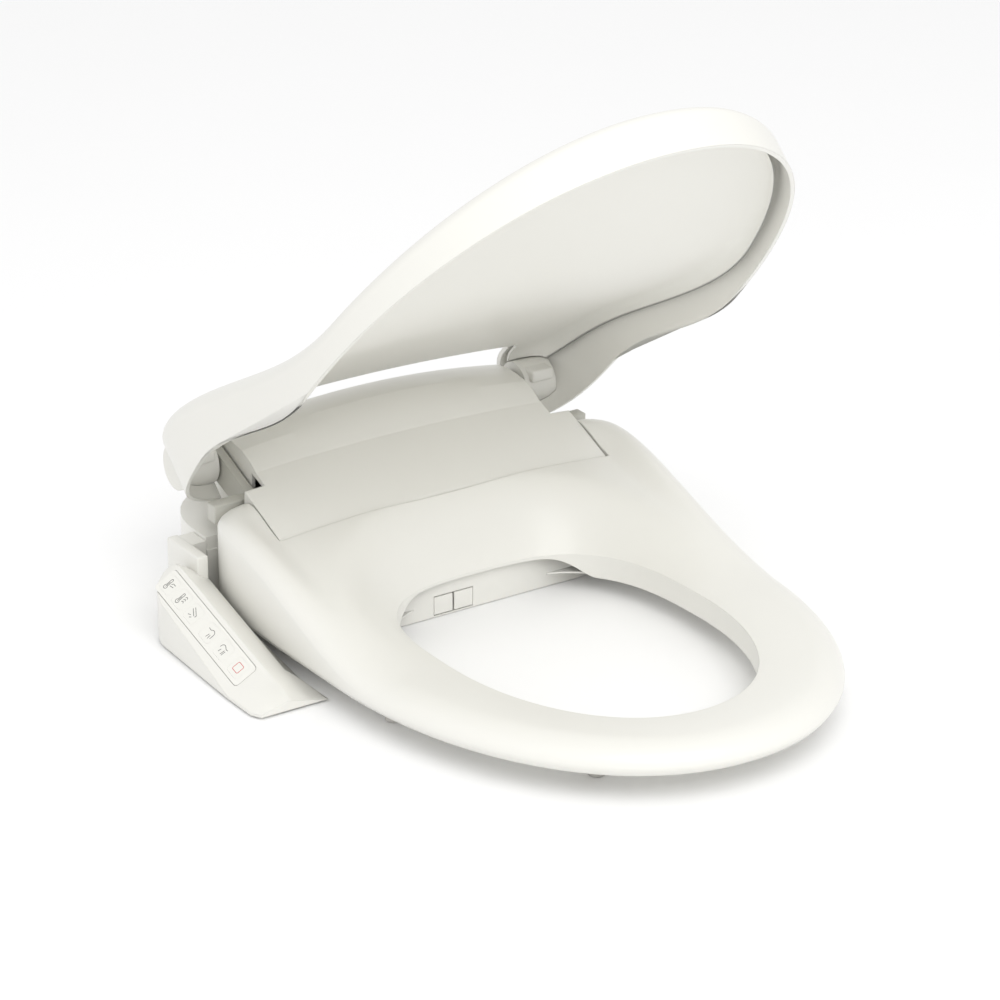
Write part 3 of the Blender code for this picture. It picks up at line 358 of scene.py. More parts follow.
def make_seat():
    """The hollow upper ring and the flat base that closes it from below."""
    hollow = seat_ring("seat_hollow", SEAT_WALL, bottom_drop=0.004)
    cut(hollow, tongue_notch("seat_hollow_notch", SEAT_WALL))
    top = seat_ring("seat_top", 0.0)
    cut(top, tongue_notch("seat_notch"), *nose_reliefs("seat_relief"), hollow)
    finish_node(top, "seat_top", "white_plastic")

    rim = SEAT_WALL + GAP
    outline = egg_outline(seat_edge, -SEAT_TUCK - rim)
    base = slab("seat_base", outline, SEAT_BOTTOM_Z, SEAT_BOTTOM_Z + BASE_THICKNESS)
    opening = slab("seat_base_opening", egg_outline(opening_edge, rim), 0.0, 0.1)
    raised(base)
    half = TONGUE_HALF_WIDTH + NOTCH_GAP + rim
    cut(base, opening, box("seat_base_notch", (-half, NOSE_FRONT_Y - 0.0085, -0.1), (half, 0.1, 0.2)))
    finish_node(base, "seat_base", "white_plastic")


BUMPERS = {"front_left": (-0.075, -0.381), "front_right": (0.075, -0.381),
           "rear_left": (-0.145, -0.239), "rear_right": (0.145, -0.239)}
BUMPER_RADIUS, BUMPER_TOP_RADIUS, BUMPER_SIDES = 0.0062, 0.0072, 20


def make_seat_bumpers():
    """Rubber feet, from the bowl's rim up to the seat's underside."""
    for side, spot in BUMPERS.items():
        top = SEAT_BOTTOM_Z + seat_rise(spot[1] + BUMPER_TOP_RADIUS) - GAP
        foot = rod("foot", BUMPER_RADIUS, 0.0, top, "Z", spot, BUMPER_SIDES, BUMPER_TOP_RADIUS)
        finish_node(foot, f"seat_bumper_{side}", "grey_rubber")


# Lid, modelled closed and then turned to where it stands

def turn_lid(obj):
    pivot = Matrix.Translation((0, HINGE_Y, HINGE_Z))
    turn = pivot @ Matrix.Rotation(-LID_REST, 4, "X") @ pivot.inverted()
    obj.data.transform(turn)


LID_FRONT_EDGE_Z, LID_REAR_EDGE_Z, LID_CROWN = 0.049, 0.118, 0.010
LID_CLIMB = (-0.27, 0.02)        # the stretch of y over which the edge climbs to the rear
LID_RIM_Z, LID_RIM_LIFT = 0.024, 0.042
LID_RIM_CLIMB = (-0.21, -0.04)
ROLL_DEPTH, ROLL_REACH = 0.010, 0.014            # the rounded outer edge of the lid


def lid_top(x, y):
    """Height of the closed lid's outside, crowned from side to side."""
    edge = LID_FRONT_EDGE_Z + (LID_REAR_EDGE_Z - LID_FRONT_EDGE_Z) * smoothstep(y, *LID_CLIMB)
    return edge + LID_CROWN * (1 - (x / LID_HALF_WIDTH) ** 2)


def lid_rim(y):
    """Height of the closed lid's lower rim."""
    return LID_RIM_Z + LID_RIM_LIFT * smoothstep(y, *LID_RIM_CLIMB)


def lid_ring(angle, share, inset, drop):
    """A point of the lid's skin: share 1 is its edge and 0 its middle."""
    distance = (lid_edge(angle) - inset) * share
    spot = at(angle, distance, 0.0)
    outward = max(0.0, 1 - (lid_edge(angle) - inset - distance) / ROLL_REACH)
    roll = ROLL_DEPTH * (1 - math.sqrt(1 - min(outward, 1.0) ** 2))
    spot.z = lid_top(spot.x, spot.y) - roll - drop
    return spot


LID_STEPS, LID_CROWDING, LID_INNERMOST = 40, 2.2, 0.015
LID_SHARES = [1 - (i / LID_STEPS) ** LID_CROWDING * (1 - LID_INNERMOST) for i in range(LID_STEPS + 1)]


def lid_skin(name, inset, drop, rim_drop):
    """A solid cap under the lid's surface, down to its rim."""
    rings = []
    rim = []
    for angle in angles():
        spot = at(angle, lid_edge(angle) - inset, 0.0)
        spot.z = lid_rim(spot.y) - rim_drop
        rim.append(spot)
    rings.append(rim)
    for share in LID_SHARES:
        rings.append([lid_ring(angle, share, inset, drop) for angle in angles()])
    return loft(name, rings)


def lid_notch(name, grow=0.0):
    """What the lid's rear edge leaves free for the spine."""
    half = LID_NOTCH_HALF_WIDTH + grow
    return box(name, (-half, LID_NOTCH_Y - grow, 0.0), (half, 0.2, 0.3))


def boss_seats(name, radius):
    """Room for the hinge bosses, which sit in the lid's rear corners."""
    reach = (LID_BOSS[0] - 0.01, LID_BOSS[1] + GAP)
    return [on_hinge(f"{name}_seat_{sign}", radius, *sided(reach, sign), BOSS_SIDES) for sign in (-1, 1)]


def make_lid():
    """The lid's shell, turned to where it stands."""
    shell = lid_skin("lid_shell", 0.0, 0.0, 0.0)
    hollow = lid_skin("lid_hollow", LID_WALL, LID_WALL, rim_drop=0.02)
    notch = lid_notch("lid_notch")
    for obj in (shell, hollow, notch):
        turn_lid(obj)
    cut(shell, hollow, notch)
    cut(shell, *boss_seats("lid_shell", BOSS_RADIUS + GAP))
    finish_node(shell, "lid_shell", "white_plastic")


PANEL_THICKNESS, PANEL_INSET, PANEL_GAP = 0.0022, 0.0065, 0.0012
PANEL_BOSS_GAP = 0.0010


def liner_rings(drop):
    """The liner's surface so far under the lid's outside, from its edge to its middle."""
    inset = LID_WALL + PANEL_INSET
    return [[lid_ring(angle, share, inset, drop) for angle in angles()] for share in LID_SHARES]


def make_lid_panel():
    """The liner under the lid's shell, cut away round the spine and the hinge bosses."""
    drop = LID_WALL + GAP + PANEL_GAP
    upper, lower = liner_rings(drop), liner_rings(drop + PANEL_THICKNESS)
    top = loft("lid_panel", list(reversed(upper)) + lower)
    turn_lid(top)
    notch = lid_notch("lid_panel_notch", grow=0.002)
    turn_lid(notch)
    cut(top, notch, *boss_seats("lid_panel", BOSS_RADIUS + PANEL_BOSS_GAP))
    finish_node(top, "lid_panel", "white_plastic")


# Hinges

LID_BOSS = (0.1345, 0.1620)      # from, to, along X on each side
BOSS_RADIUS, BOSS_SIDES = 0.0175, 96
SEAT_KNUCKLE = (0.1255, 0.1325)
EYE_RADIUS = 0.0125
EYE_DEGREES = (-100, -36, 28, 92)        # where the eye's corners lie round the axis
BORE_RADIUS = 0.0066


def sided(pair, sign):
    """The same stretch of X on the left (-1) or the right (+1) side, low end first."""
    return tuple(sorted(sign * v for v in pair))


def make_lid_hinges():
    """A bored boss in each rear corner of the lid, with a web up to the shell."""
    for side, sign in (("left", -1), ("right", 1)):
        low, high = sided(LID_BOSS, sign)
        boss = on_hinge("boss", BOSS_RADIUS, low, high, BOSS_SIDES)
        web = box("web", (low + 0.004, HINGE_Y - 0.020, HINGE_Z + 0.006),
                  (high - 0.004, HINGE_Y - 0.004, HINGE_Z + 0.0155), 0.002)
        unite(boss, web)
        bore = sided((LID_BOSS[0] - 0.01, LID_BOSS[1] - 0.004), sign)
        cut(boss, on_hinge("boss_bore", BORE_RADIUS, *bore))
        finish_node(boss, f"lid_hinge_{side}", "inner_plastic")


def seat_arm_profile():
    """The seat's hinge arm from the side: an eye on the axis and a bar running forward to the seat."""
    eye = [(HINGE_Y + EYE_RADIUS * math.cos(a), HINGE_Z + EYE_RADIUS * math.sin(a))
           for a in map(math.radians, EYE_DEGREES)]
    return eye + [(-0.010, 0.0900), (-0.0247, 0.0860), (-0.0247, 0.0700), (-0.004, 0.0700)]


def prism_x(name, profile, low, high):
    """A profile in YZ extruded along X."""

    def build(bm):
        face = bm.faces.new([bm.verts.new((low, y, z)) for y, z in profile])
        pushed = bmesh.ops.extrude_face_region(bm, geom=[face])
        verts = [v for v in pushed["geom"] if isinstance(v, bmesh.types.BMVert)]
        bmesh.ops.translate(bm, vec=(high - low, 0, 0), verts=verts)

    return mesh_object(name, build)


def make_seat_hinges():
    """An arm on the hinge axis at each side, with a bar that runs out to the seat's rear corner."""
    for side, sign in (("left", -1), ("right", 1)):
        low, high = sided(SEAT_KNUCKLE, sign)
        arm = prism_x("arm", seat_arm_profile(), low, high)
        foot = sided((SEAT_KNUCKLE[0] + 0.002, 0.162), sign)
        bar = box("bar", (foot[0], -0.0247, 0.0705), (foot[1], -0.0135, 0.0845), 0.001)
        unite(arm, bar)
        cut(arm, on_hinge("arm_bore", BORE_RADIUS, low - 0.01, high + 0.01))
        finish_node(arm, f"seat_hinge_{side}", "inner_plastic")


# Housing

TONGUE_CROWN, SPINE_CROWN, SPINE_DROP = 0.0055, 0.0080, 0.0060
CROWNED_ABOVE_Z = 0.0715
RIDGE_Y = 0.020                  # where the spine has its whole crown
CROWN_STEPS = 48


def lift_at(x, y, z):
    """How far the cover's top rises at x: a little at the tongue's edge, more along the spine's ridge."""
    if z < CROWNED_ABOVE_Z:
        return 0.0
    on_spine = smoothstep(y, CREASE_Y, RIDGE_Y)
    height = TONGUE_CROWN + SPINE_CROWN * on_spine
    return height * (1 - (x / TONGUE_HALF_WIDTH) ** 2) - SPINE_DROP * on_spine


def x_sections(half_width):
    """Where the cover is cut across, from its left end to its right."""
    return [half_width * (2 * i / CROWN_STEPS - 1) for i in range(CROWN_STEPS + 1)]


def crowned_prism(name, profile, half_width):
    """A YZ profile along X whose upper points rise towards the middle."""
    rings = []
    for x in x_sections(half_width):
        rings.append([(x, y, z + lift_at(x, y, z)) for y, z in profile])
    return loft(name, rings)


# Sections of the cover, with y to the rear and z up, from the lower front corner over the top.
SPINE_PROFILE = ((CREASE_Y, SHOULDER_Z + GAP), (CREASE_Y, 0.0990), (-0.010, 0.1055), (0.001, 0.1115),
                 (0.013, 0.1150), (0.026, 0.1160), (0.039, 0.1145), (0.050, 0.1085), (0.057, 0.0985),
                 (HOUSING_REAR_Y - 0.0005, 0.0860), (HOUSING_REAR_Y - 0.0005, SHOULDER_Z + GAP))
TONGUE_PROFILE = ((TONGUE_FRONT_Y, NOSE_TOP_Z + GAP), (TONGUE_FRONT_Y, 0.0725),
                  (TONGUE_FRONT_Y + 0.002, 0.0742), (-0.050, 0.0868), (CREASE_Y, 0.0990),
                  (CREASE_Y + 0.004, 0.1005), (CREASE_Y + 0.004, SHOULDER_Z + GAP),
                  (CREASE_Y - 0.0025, SHOULDER_Z + GAP), (CREASE_Y - 0.0025, NOSE_TOP_Z + GAP))
SPINE_HOLLOW = ((CREASE_Y + 0.004, 0.05), (CREASE_Y + 0.004, 0.0970), (-0.009, 0.1020), (0.002, 0.1082),
                (0.0135, 0.1118), (0.026, 0.1128), (0.038, 0.1114), (0.0475, 0.1065), (0.054, 0.0975),
                (HOUSING_REAR_Y - 0.0035, 0.0850), (HOUSING_REAR_Y - 0.0035, 0.05))
TONGUE_HOLLOW = ((TONGUE_FRONT_Y + WALL, 0.04), (TONGUE_FRONT_Y + WALL, 0.0718), (-0.050, 0.0834),
                 (CREASE_Y + 0.001, 0.0952), (CREASE_Y + 0.006, 0.0968), (CREASE_Y + 0.006, 0.04))
ARM_SWING_RADIUS, ARM_SWING_SIDES = 0.0650, 48   # what the seat's hinge arms sweep through
COVER_BORE_RADIUS = 0.0072


def make_upper_cover():
    """The sloping tongue and the raised spine behind it, hollowed and open to the seat's hinge arms."""
    spine = crowned_prism("upper_cover", SPINE_PROFILE, SPINE_HALF_WIDTH)
    tongue = crowned_prism("tongue", TONGUE_PROFILE, TONGUE_HALF_WIDTH)
    unite(spine, tongue)
    for sign in (-1, 1):
        low, high = sided((SPINE_HALF_WIDTH + GAP, 0.2), sign)
        cut(spine, box(f"arm_way_{sign}", (low, TONGUE_REAR_Y, 0.0), (high, 0.2, 0.2)))
        cut(spine, on_hinge(f"arm_swing_{sign}", ARM_SWING_RADIUS, low, high, ARM_SWING_SIDES))
    cut(spine, crowned_prism("spine_hollow", SPINE_HOLLOW, SPINE_HALF_WIDTH - WALL),
        crowned_prism("tongue_hollow", TONGUE_HOLLOW, TONGUE_HALF_WIDTH - WALL))
    cut(spine, on_hinge("cover_bores", COVER_BORE_RADIUS, -0.2, 0.2))
    finish_node(spine, "upper_cover", "white_plastic")


NOSE_CORNER = 0.042              # radius of the nose's front corners


def housing_outline(inset=0.0):
    """Plan of the lower casing: a full-width rear and a narrower nose with rounded front corners."""
    rear, nose = REAR_HALF_WIDTH - inset, NOSE_HALF_WIDTH - inset
    front, back = NOSE_FRONT_Y + inset, HOUSING_REAR_Y - inset
    step_y = CREASE_Y - 0.002 + inset
    across, deep = REAR_CORNER
    half = [(rear, step_y)] + [
        (rear - across + across * math.cos(a), back - deep + deep * math.sin(a))
        for a in map(math.radians, range(0, 91, 10))]
    nose_side = [(nose, step_y)] + [
        (nose - NOSE_CORNER + NOSE_CORNER * math.cos(a), front + NOSE_CORNER - NOSE_CORNER * math.sin(a))
        for a in map(math.radians, (0, 22.5, 45, 67.5, 90))]
    right = list(reversed(nose_side)) + half
    return right + [(-x, y) for x, y in reversed(right)]


def plan_box(name, half_width, y0, y1, z0, z1):
    """A box that is the same on both sides of the middle."""
    return box(name, (-half_width, y0, z0), (half_width, y1, z1))


PLATE_RECESS = (0.0865, -0.0305, 0.0355, 0.0092)     # half width, y from and to, height
PAD_Y, PAD_X, PAD_HEIGHT = (-0.060, -0.034), (0.100, 0.128), 0.0022
CASING_FLOOR = 0.0028            # thickness over the plate
FITTING_Z, GLAND_X, INLET_X = 0.026, -0.1080, 0.1060
GLAND_HOLE, INLET_HOLE = 0.0068, 0.0098              # radii
WAND_CAP_SIDE = 0.00825          # from a wand's axis to the window's edge


def hollow_casing(body):
    """Takes out the stepped inside of the casing, and opens its top under the cover."""
    step = CREASE_Y - 0.0005
    floor = PLATE_RECESS[3] + CASING_FLOOR
    cut(body, box("nose_step", (-0.2, -0.2, NOSE_TOP_Z), (0.2, step, 0.2)))
    cut(body, box("nose_lip_step", (-0.2, -0.2, NOSE_LIP_Z), (0.2, NOSE_STEP_Y, 0.2)))
    cut(body, slab("casing_hollow", housing_outline(WALL), floor, NOSE_LIP_Z - WALL))
    upper = slab("casing_hollow_upper", housing_outline(WALL), floor, NOSE_TOP_Z - WALL)
    cut(upper, box("hollow_step", (-0.2, -0.2, 0.0), (0.2, NOSE_STEP_Y + WALL, 0.2)))
    cut(body, upper)
    front, rear = TONGUE_FRONT_Y + WALL + 0.001, HOUSING_REAR_Y - 0.0042
    cut(body, plan_box("nose_mouth", TONGUE_HALF_WIDTH - 0.008, front, step + 0.002, 0.03, 0.1))
    cut(body, plan_box("rear_mouth", SPINE_HALF_WIDTH - WALL, step - 0.004, rear, 0.03, 0.1))
    for sign in (-1, 1):
        low, high = sided((SPINE_HALF_WIDTH - 0.01, REAR_HALF_WIDTH - WALL), sign)
        corner = (high, 0.010, SHOULDER_Z - WALL)
        cut(body, box(f"shoulder_hollow_{sign}", (low, CREASE_Y + 0.002, 0.03), corner))


def recess_underside(body):
    """Makes room in the underside for the mounting plate and the two pads."""
    half, y0, y1, height = PLATE_RECESS
    for sign in (-1, 1):
        low, high = sided(PAD_X, sign)
        corner = (high + GAP, PAD_Y[1] + GAP, PAD_HEIGHT + GAP)
        cut(body, box(f"pad_recess_{sign}", (low - GAP, PAD_Y[0] - GAP, -0.01), corner))
    cut(body, plan_box("plate_recess", half, y0, y1, -0.01, height))


def make_lower_casing():
    body = slab("lower_casing", housing_outline(), 0.0, SHOULDER_Z)
    hollow_casing(body)
    recess_underside(body)
    left = WAND_CENTRE_X - WAND_X - WAND_CAP_SIDE
    right = WAND_CENTRE_X + WAND_X + WAND_CAP_SIDE
    cut(body, box("wand_window", (left, -0.2, 0.0012), (right, NOSE_FRONT_Y + 0.02, 0.0166)))
    cut(body, box("wand_channel", (left, NOSE_FRONT_Y + WALL + 0.001, 0.0012), (right, -0.032, 0.0262)))
    cut(body, rod("gland_hole", GLAND_HOLE, 0.03, 0.08, "Y", (GLAND_X, FITTING_Z)))
    cut(body, rod("inlet_hole", INLET_HOLE, 0.03, 0.08, "Y", (INLET_X, FITTING_Z)))
    cut(body, box("release_hole", (0.15, -0.0180, 0.0195), (0.19, -0.0050, 0.0305)))
    finish_node(body, "lower_casing", "white_plastic")


RELEASE_CENTRE = Vector((0.16475, -0.0115, 0.0250))
RELEASE_HALF_SIZE = Vector((0.00475, 0.0060, 0.0050))


def make_release_button():
    low, high = RELEASE_CENTRE - RELEASE_HALF_SIZE, RELEASE_CENTRE + RELEASE_HALF_SIZE
    button = box("release_button", low, high, 0.0012)
    finish_node(button, "release_button", "inner_plastic")


# Control arm

def ridge_z(y):
    """Height of the ridge between the arm's inner slope and its face."""
    return 0.014 + ARM_SLOPE * (y + 0.181)


def arm_section(y, outer_x, ridge, hollow):
    """The arm cut across: an inner wall, a shaded slope up to the ridge, the sloping face and a side."""
    wall, cover = (WALL, 0.0048) if hollow else (0.0, 0.0)
    foot = -0.010 if hollow else ARM_FOOT_Z
    edge = max(ARM_FOOT_Z + 0.002, ridge - FACE_SLOPE * (ARM_RIDGE_X - outer_x)) - cover
    inner_top = max(ARM_FOOT_Z + 0.0025, ridge - 0.012) - cover
    inner_x, outer_x = ARM_INNER_X - wall, outer_x + wall
    foot_x = inner_x if hollow else inner_x + ARM_FOOT_REACH * (1 - smoothstep(y, -0.150, -0.090))
    return [(foot_x, y, foot), (inner_x, y, inner_top), (ARM_RIDGE_X + 0.003, y, ridge - 0.0008 - cover),
            (ARM_RIDGE_X, y, ridge - cover), (outer_x, y, edge), (outer_x, y, foot)]


def arm_stations(hollow=False):
    """Sections from the arm's front end to its root, where it climbs to the housing's shoulder."""
    front = ARM_FRONT_Y + (WALL if hollow else 0.0)
    rear = ARM_REAR_Y - (WALL if hollow else 0.0)
    places = ((front, -0.2215, ridge_z(front) - 0.003), (front + 0.008, -0.2255, ridge_z(front + 0.008)),
              (-0.150, -0.2260, ridge_z(-0.150)), (-0.110, -0.2244, ridge_z(-0.110)),
              (-0.050, -0.2220, ridge_z(-0.050)), (-0.040, -0.2190, 0.0530),
              (-0.032, -0.2130, 0.0520), (rear, -0.2060, 0.0490))
    return [arm_section(y, outer_x, ridge, hollow) for y, outer_x, ridge in places]


def make_arm():
    """The arm's hollow shell with its root on the casing, and the recess and wells for the panel."""
    arm = loft("arm_housing", arm_stations())
    low, high = ARM_FOOT_Z + 0.0006, SHOULDER_Z - 0.0015
    root = box("arm_root", (ROOT_X, -0.0455, low), (ARM_INNER_X, 0.0, high), 0.0015)
    corner = (-REAR_HALF_WIDTH - GAP, -0.001, high - 0.001)
    unite(root, box("arm_flange", (ROOT_X + 0.002, -0.0205, low + 0.001), corner))
    unite(arm, root)
    cut(arm, loft("arm_hollow", arm_stations(hollow=True)))
    cut(arm, panel_slab("panel_recess", PANEL_SIZE, PANEL_RECESS_DEPTH, 0.01))
    for name, along, across in KEYS:
        cut(arm, key_slab(f"{name}_well", along, across, KEY_SIZE + KEY_WELL_ROOM, -0.006, 0.01))
    finish_node(arm, "arm_housing", "white_plastic")


def face_frame():
    """A frame on the arm's sloping face: X along the arm to the front, Y up the slope, Z out of the face."""
    forward = Vector((0, -1, -ARM_SLOPE)).normalized()
    downhill = Vector((-1, 0, -FACE_SLOPE)).normalized()
    normal = forward.cross(downhill)
    if normal.z < 0:
        normal.negate()
    normal.normalize()
    uphill = normal.cross(forward).normalized()
    y = FACE_MIDDLE_Y
    x = ARM_RIDGE_X - 0.0112
    origin = Vector((x, y, ridge_z(y) - FACE_SLOPE * (ARM_RIDGE_X - x)))
    frame = Matrix((forward, uphill, normal)).transposed().to_4x4()
    frame.translation = origin
    return frame


FACE_MIDDLE_Y = -0.0945
PANEL_SIZE = (0.120, 0.0200)
PANEL_THICKNESS_FACE = 0.0012
PANEL_RECESS_DEPTH = -0.0016
KEY_SIZE, KEY_BOTTOM = 0.0130, -0.0042
KEY_SEAM = 0.00005               # shown round each key
KEY_WELL_ROOM = 0.0012           # how much wider a key's well is than the key
PANEL_CORNER, KEY_CORNER, FACE_CORNER_STEPS = 0.003, 0.0025, 3
FACE_TOP = PANEL_RECESS_DEPTH + GAP + PANEL_THICKNESS_FACE
KEYS = (("key_stop", 0.0480, 0.0), ("key_front", 0.0275, 0.0), ("key_rear", 0.0070, 0.0),
        ("key_position", -0.0160, 0.0), ("key_water_temp", -0.0335, 0.0), ("key_seat_temp", -0.0510, 0.0))


def face_slab(name, outline, low, high):
    """An outline in the face's frame, extruded between two depths along its normal."""
    obj = slab(name, outline, low, high)
    obj.data.transform(face_frame())
    return obj


def panel_slab(name, size, low, high):
    x, y = size[0] / 2, size[1] / 2
    return face_slab(name, rounded_rectangle(-x, x, -y, y, PANEL_CORNER, FACE_CORNER_STEPS), low, high)


def key_slab(name, along, across, size, low, high):
    half = size / 2
    outline = rounded_rectangle(along - half, along + half, across - half, across + half,
                                KEY_CORNER, FACE_CORNER_STEPS)
    return face_slab(name, outline, low, high)


def make_panel():
    """The thin plate in the arm's face, and the six keys that fill its windows."""
    size = (PANEL_SIZE[0] - 2 * GAP, PANEL_SIZE[1] - 2 * GAP)
    plate = panel_slab("control_panel", size, PANEL_RECESS_DEPTH + GAP, FACE_TOP)
    window = KEY_SIZE + 2 * GAP
    for name, along, across in KEYS:
        cut(plate, key_slab(f"{name}_window", along, across, window, -0.01, 0.01))
    finish_node(plate, "control_panel", "white_plastic")
    for name, along, across in KEYS:
        key = key_slab(name, along, across, window - 2 * KEY_SEAM, KEY_BOTTOM, FACE_TOP)
        finish_node(key, name, "white_plastic")


# Wand ends

CAP_HALF_WIDTH, CAP_Z = 0.0080, (0.0019, 0.0159)


def make_wand_cap(name, x):
    """The flat end of a wand, flush with the housing's front wall."""
    front, rear = NOSE_FRONT_Y - 0.0002, NOSE_FRONT_Y + 0.0014
    cap = box("cap", (x - CAP_HALF_WIDTH, front, CAP_Z[0]), (x + CAP_HALF_WIDTH, rear, CAP_Z[1]), 0.0005)
    finish_node(cap, f"{name}_wand_cap", "white_plastic")


# Finishes: every one is built from nodes

def srgb(r, g, b):
    """An 8-bit sRGB colour as a linear one."""
    return tuple(((v / 255 + 0.055) / 1.055) ** 2.4 for v in (r, g, b))


def node(tree, kind, **settings):
    """A new node, with each setting put on the input or the property of that name."""
    made = tree.nodes.new(kind)
    for key, value in settings.items():
        if key in made.inputs.keys():
            made.inputs[key].default_value = value
        else:
            setattr(made, key, value)
    return made


def procedural(name, color, spread=0.015, roughness=(0.28, 0.36), grain=900.0, bump=0.015, metallic=0.0,
               edge=0.0009, coat=0.0):
    """A Principled finish with fine grain, slow colour drift and softly rounded edges."""
    mat = bpy.data.materials.new(name)
    mat.use_nodes = True
    tree = mat.node_tree
    shader = tree.nodes["Principled BSDF"]
    coords = node(tree, "ShaderNodeTexCoord")
    drift = node(tree, "ShaderNodeTexNoise", Scale=7.0, Detail=2.0)
    tree.links.new(coords.outputs["Object"], drift.inputs["Vector"])
    ramp = node(tree, "ShaderNodeValToRGB")
    ramp.color_ramp.elements[0].color = (*(c * (1 - spread) for c in color), 1.0)
    ramp.color_ramp.elements[1].color = (*(min(1.0, c * (1 + spread)) for c in color), 1.0)
    tree.links.new(drift.outputs["Fac"], ramp.inputs["Fac"])
    tree.links.new(ramp.outputs["Color"], shader.inputs["Base Color"])
    fine = node(tree, "ShaderNodeTexNoise", Scale=grain, Detail=3.0)
    tree.links.new(coords.outputs["Object"], fine.inputs["Vector"])
    rough = node(tree, "ShaderNodeMapRange")
    rough.inputs["To Min"].default_value, rough.inputs["To Max"].default_value = roughness
    tree.links.new(fine.outputs["Fac"], rough.inputs["Value"])
    tree.links.new(rough.outputs["Result"], shader.inputs["Roughness"])
    relief = node(tree, "ShaderNodeBump", Strength=bump, Distance=0.0002)
    tree.links.new(fine.outputs["Fac"], relief.inputs["Height"])
    if edge:
        rounded = node(tree, "ShaderNodeBevel", Radius=edge, samples=4)
        tree.links.new(rounded.outputs["Normal"], relief.inputs["Normal"])
    tree.links.new(relief.outputs["Normal"], shader.inputs["Normal"])
    shader.inputs["Metallic"].default_value = metallic
    shader.inputs["Coat Weight"].default_value = coat
    return mat


OFF_WHITE = srgb(230, 229, 223)
FINISHES = {
    "white_plastic": procedural("white_plastic", OFF_WHITE, coat=0.10),
    "lid_liner": procedural("lid_liner", OFF_WHITE, roughness=(0.40, 0.48)),
    "panel_white": procedural("panel_white", srgb(232, 231, 225), coat=0.10, edge=0.00008),
    "inner_plastic": procedural("inner_plastic", srgb(196, 195, 187), roughness=(0.42, 0.50)),
    "grey_rubber": procedural("grey_rubber", srgb(201, 198, 193), roughness=(0.7, 0.8), bump=0.08),
    "board_green": procedural("board_green", srgb(30, 96, 52), spread=0.2, grain=300.0),
    "black_plastic": procedural("black_plastic", srgb(38, 38, 38), spread=0.1, roughness=(0.45, 0.55)),
    "blue_plastic": procedural("blue_plastic", srgb(70, 96, 150), spread=0.05),
    "steel": procedural("steel", (0.60, 0.60, 0.60), roughness=(0.25, 0.40), metallic=1.0, grain=2500.0),
    "brass": procedural("brass", (0.74, 0.54, 0.26), roughness=(0.22, 0.34), metallic=1.0),
    "heater_foil": procedural("heater_foil", (0.75, 0.60, 0.42), roughness=(0.3, 0.4), metallic=0.7),
    "icon_grey": procedural("icon_grey", srgb(96, 96, 94), spread=0.05, edge=0.0, bump=0.0),
    "icon_red": procedural("icon_red", srgb(206, 84, 78), spread=0.05, edge=0.0, bump=0.0),
}


# Putting each fine piece in place of its CAD node

def collection(name):
    found = bpy.data.collections.get(name)
    if found is None:
        found = bpy.data.collections.new(name)
        bpy.context.scene.collection.children.link(found)
    return found


BODY_OF = {name: body for body, names in frame["record"]["behaviour"]["bodies"].items() for name in names}
SLOT_OF = {item["node"]: item["material_slot"] for item in frame["record"]["subparts"]}
PARTS = "fine_pieces"


def boolean(obj, other, operation):
    modifier = obj.modifiers.new(operation, "BOOLEAN")
    modifier.object = other
    modifier.operation = operation
    modifier.solver = "EXACT"
    return obj


def cut(obj, *others):
    for other in others:
        boolean(obj, other, "DIFFERENCE")
    return obj


def unite(obj, *others):
    for other in others:
        boolean(obj, other, "UNION")
    return obj


def baked(obj):
    """The object's mesh with its modifiers applied; the object and the shapes it used are dropped."""
    bpy.context.view_layer.update()
    graph = bpy.context.evaluated_depsgraph_get()
    mesh = bpy.data.meshes.new_from_object(obj.evaluated_get(graph))
    mesh.transform(obj.matrix_world)
    drop(obj)
    return mesh


def drop(obj):
    """Removes an object and every shape that its Booleans used."""
    others = [m.object for m in obj.modifiers if m.type == "BOOLEAN" and m.object]
    bpy.data.objects.remove(obj, do_unlink=True)
    for other in others:
        drop(other)


SMOOTH_BELOW = 32                # degrees between two faces
SHARP_ANGLE = {"upper_cover": 12.5}       # keeps the crease between the tongue and the spine


def fine_piece(mesh, name, finish):
    """A visible object from a mesh, smooth except at its real edges."""
    mesh.shade_smooth()
    mesh.set_sharp_from_angle(angle=math.radians(SHARP_ANGLE.get(name, SMOOTH_BELOW)))
    mesh.materials.clear()
    mesh.materials.append(FINISHES[finish])
    piece = bpy.data.objects.new(f"fine_{name}", mesh)
    collection(PARTS).objects.link(piece)
    return piece


LINED = ("lid_panel", "lid_hinge_left", "lid_hinge_right")
ON_PANEL = ("control_panel", *(name for name, along, across in KEYS))
VISUAL_FINISH = {**dict.fromkeys(LINED, "lid_liner"), **dict.fromkeys(ON_PANEL, "panel_white")}


def finish_node(obj, name, finish):
    """Puts the finished shape in place of its CAD node, on the same body."""
    piece = fine_piece(baked(obj), name, VISUAL_FINISH.get(name, finish))
    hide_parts(name)
    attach(piece, BODY_OF[name])


# Icons on the control panel

ICON_HEIGHT, ICON_WIDTH, ICON_SCALE = 0.00006, 0.00042, 1.45
ICON_CLEAR = 0.00001             # between the face and an icon's underside
ARC_STEPS = 14


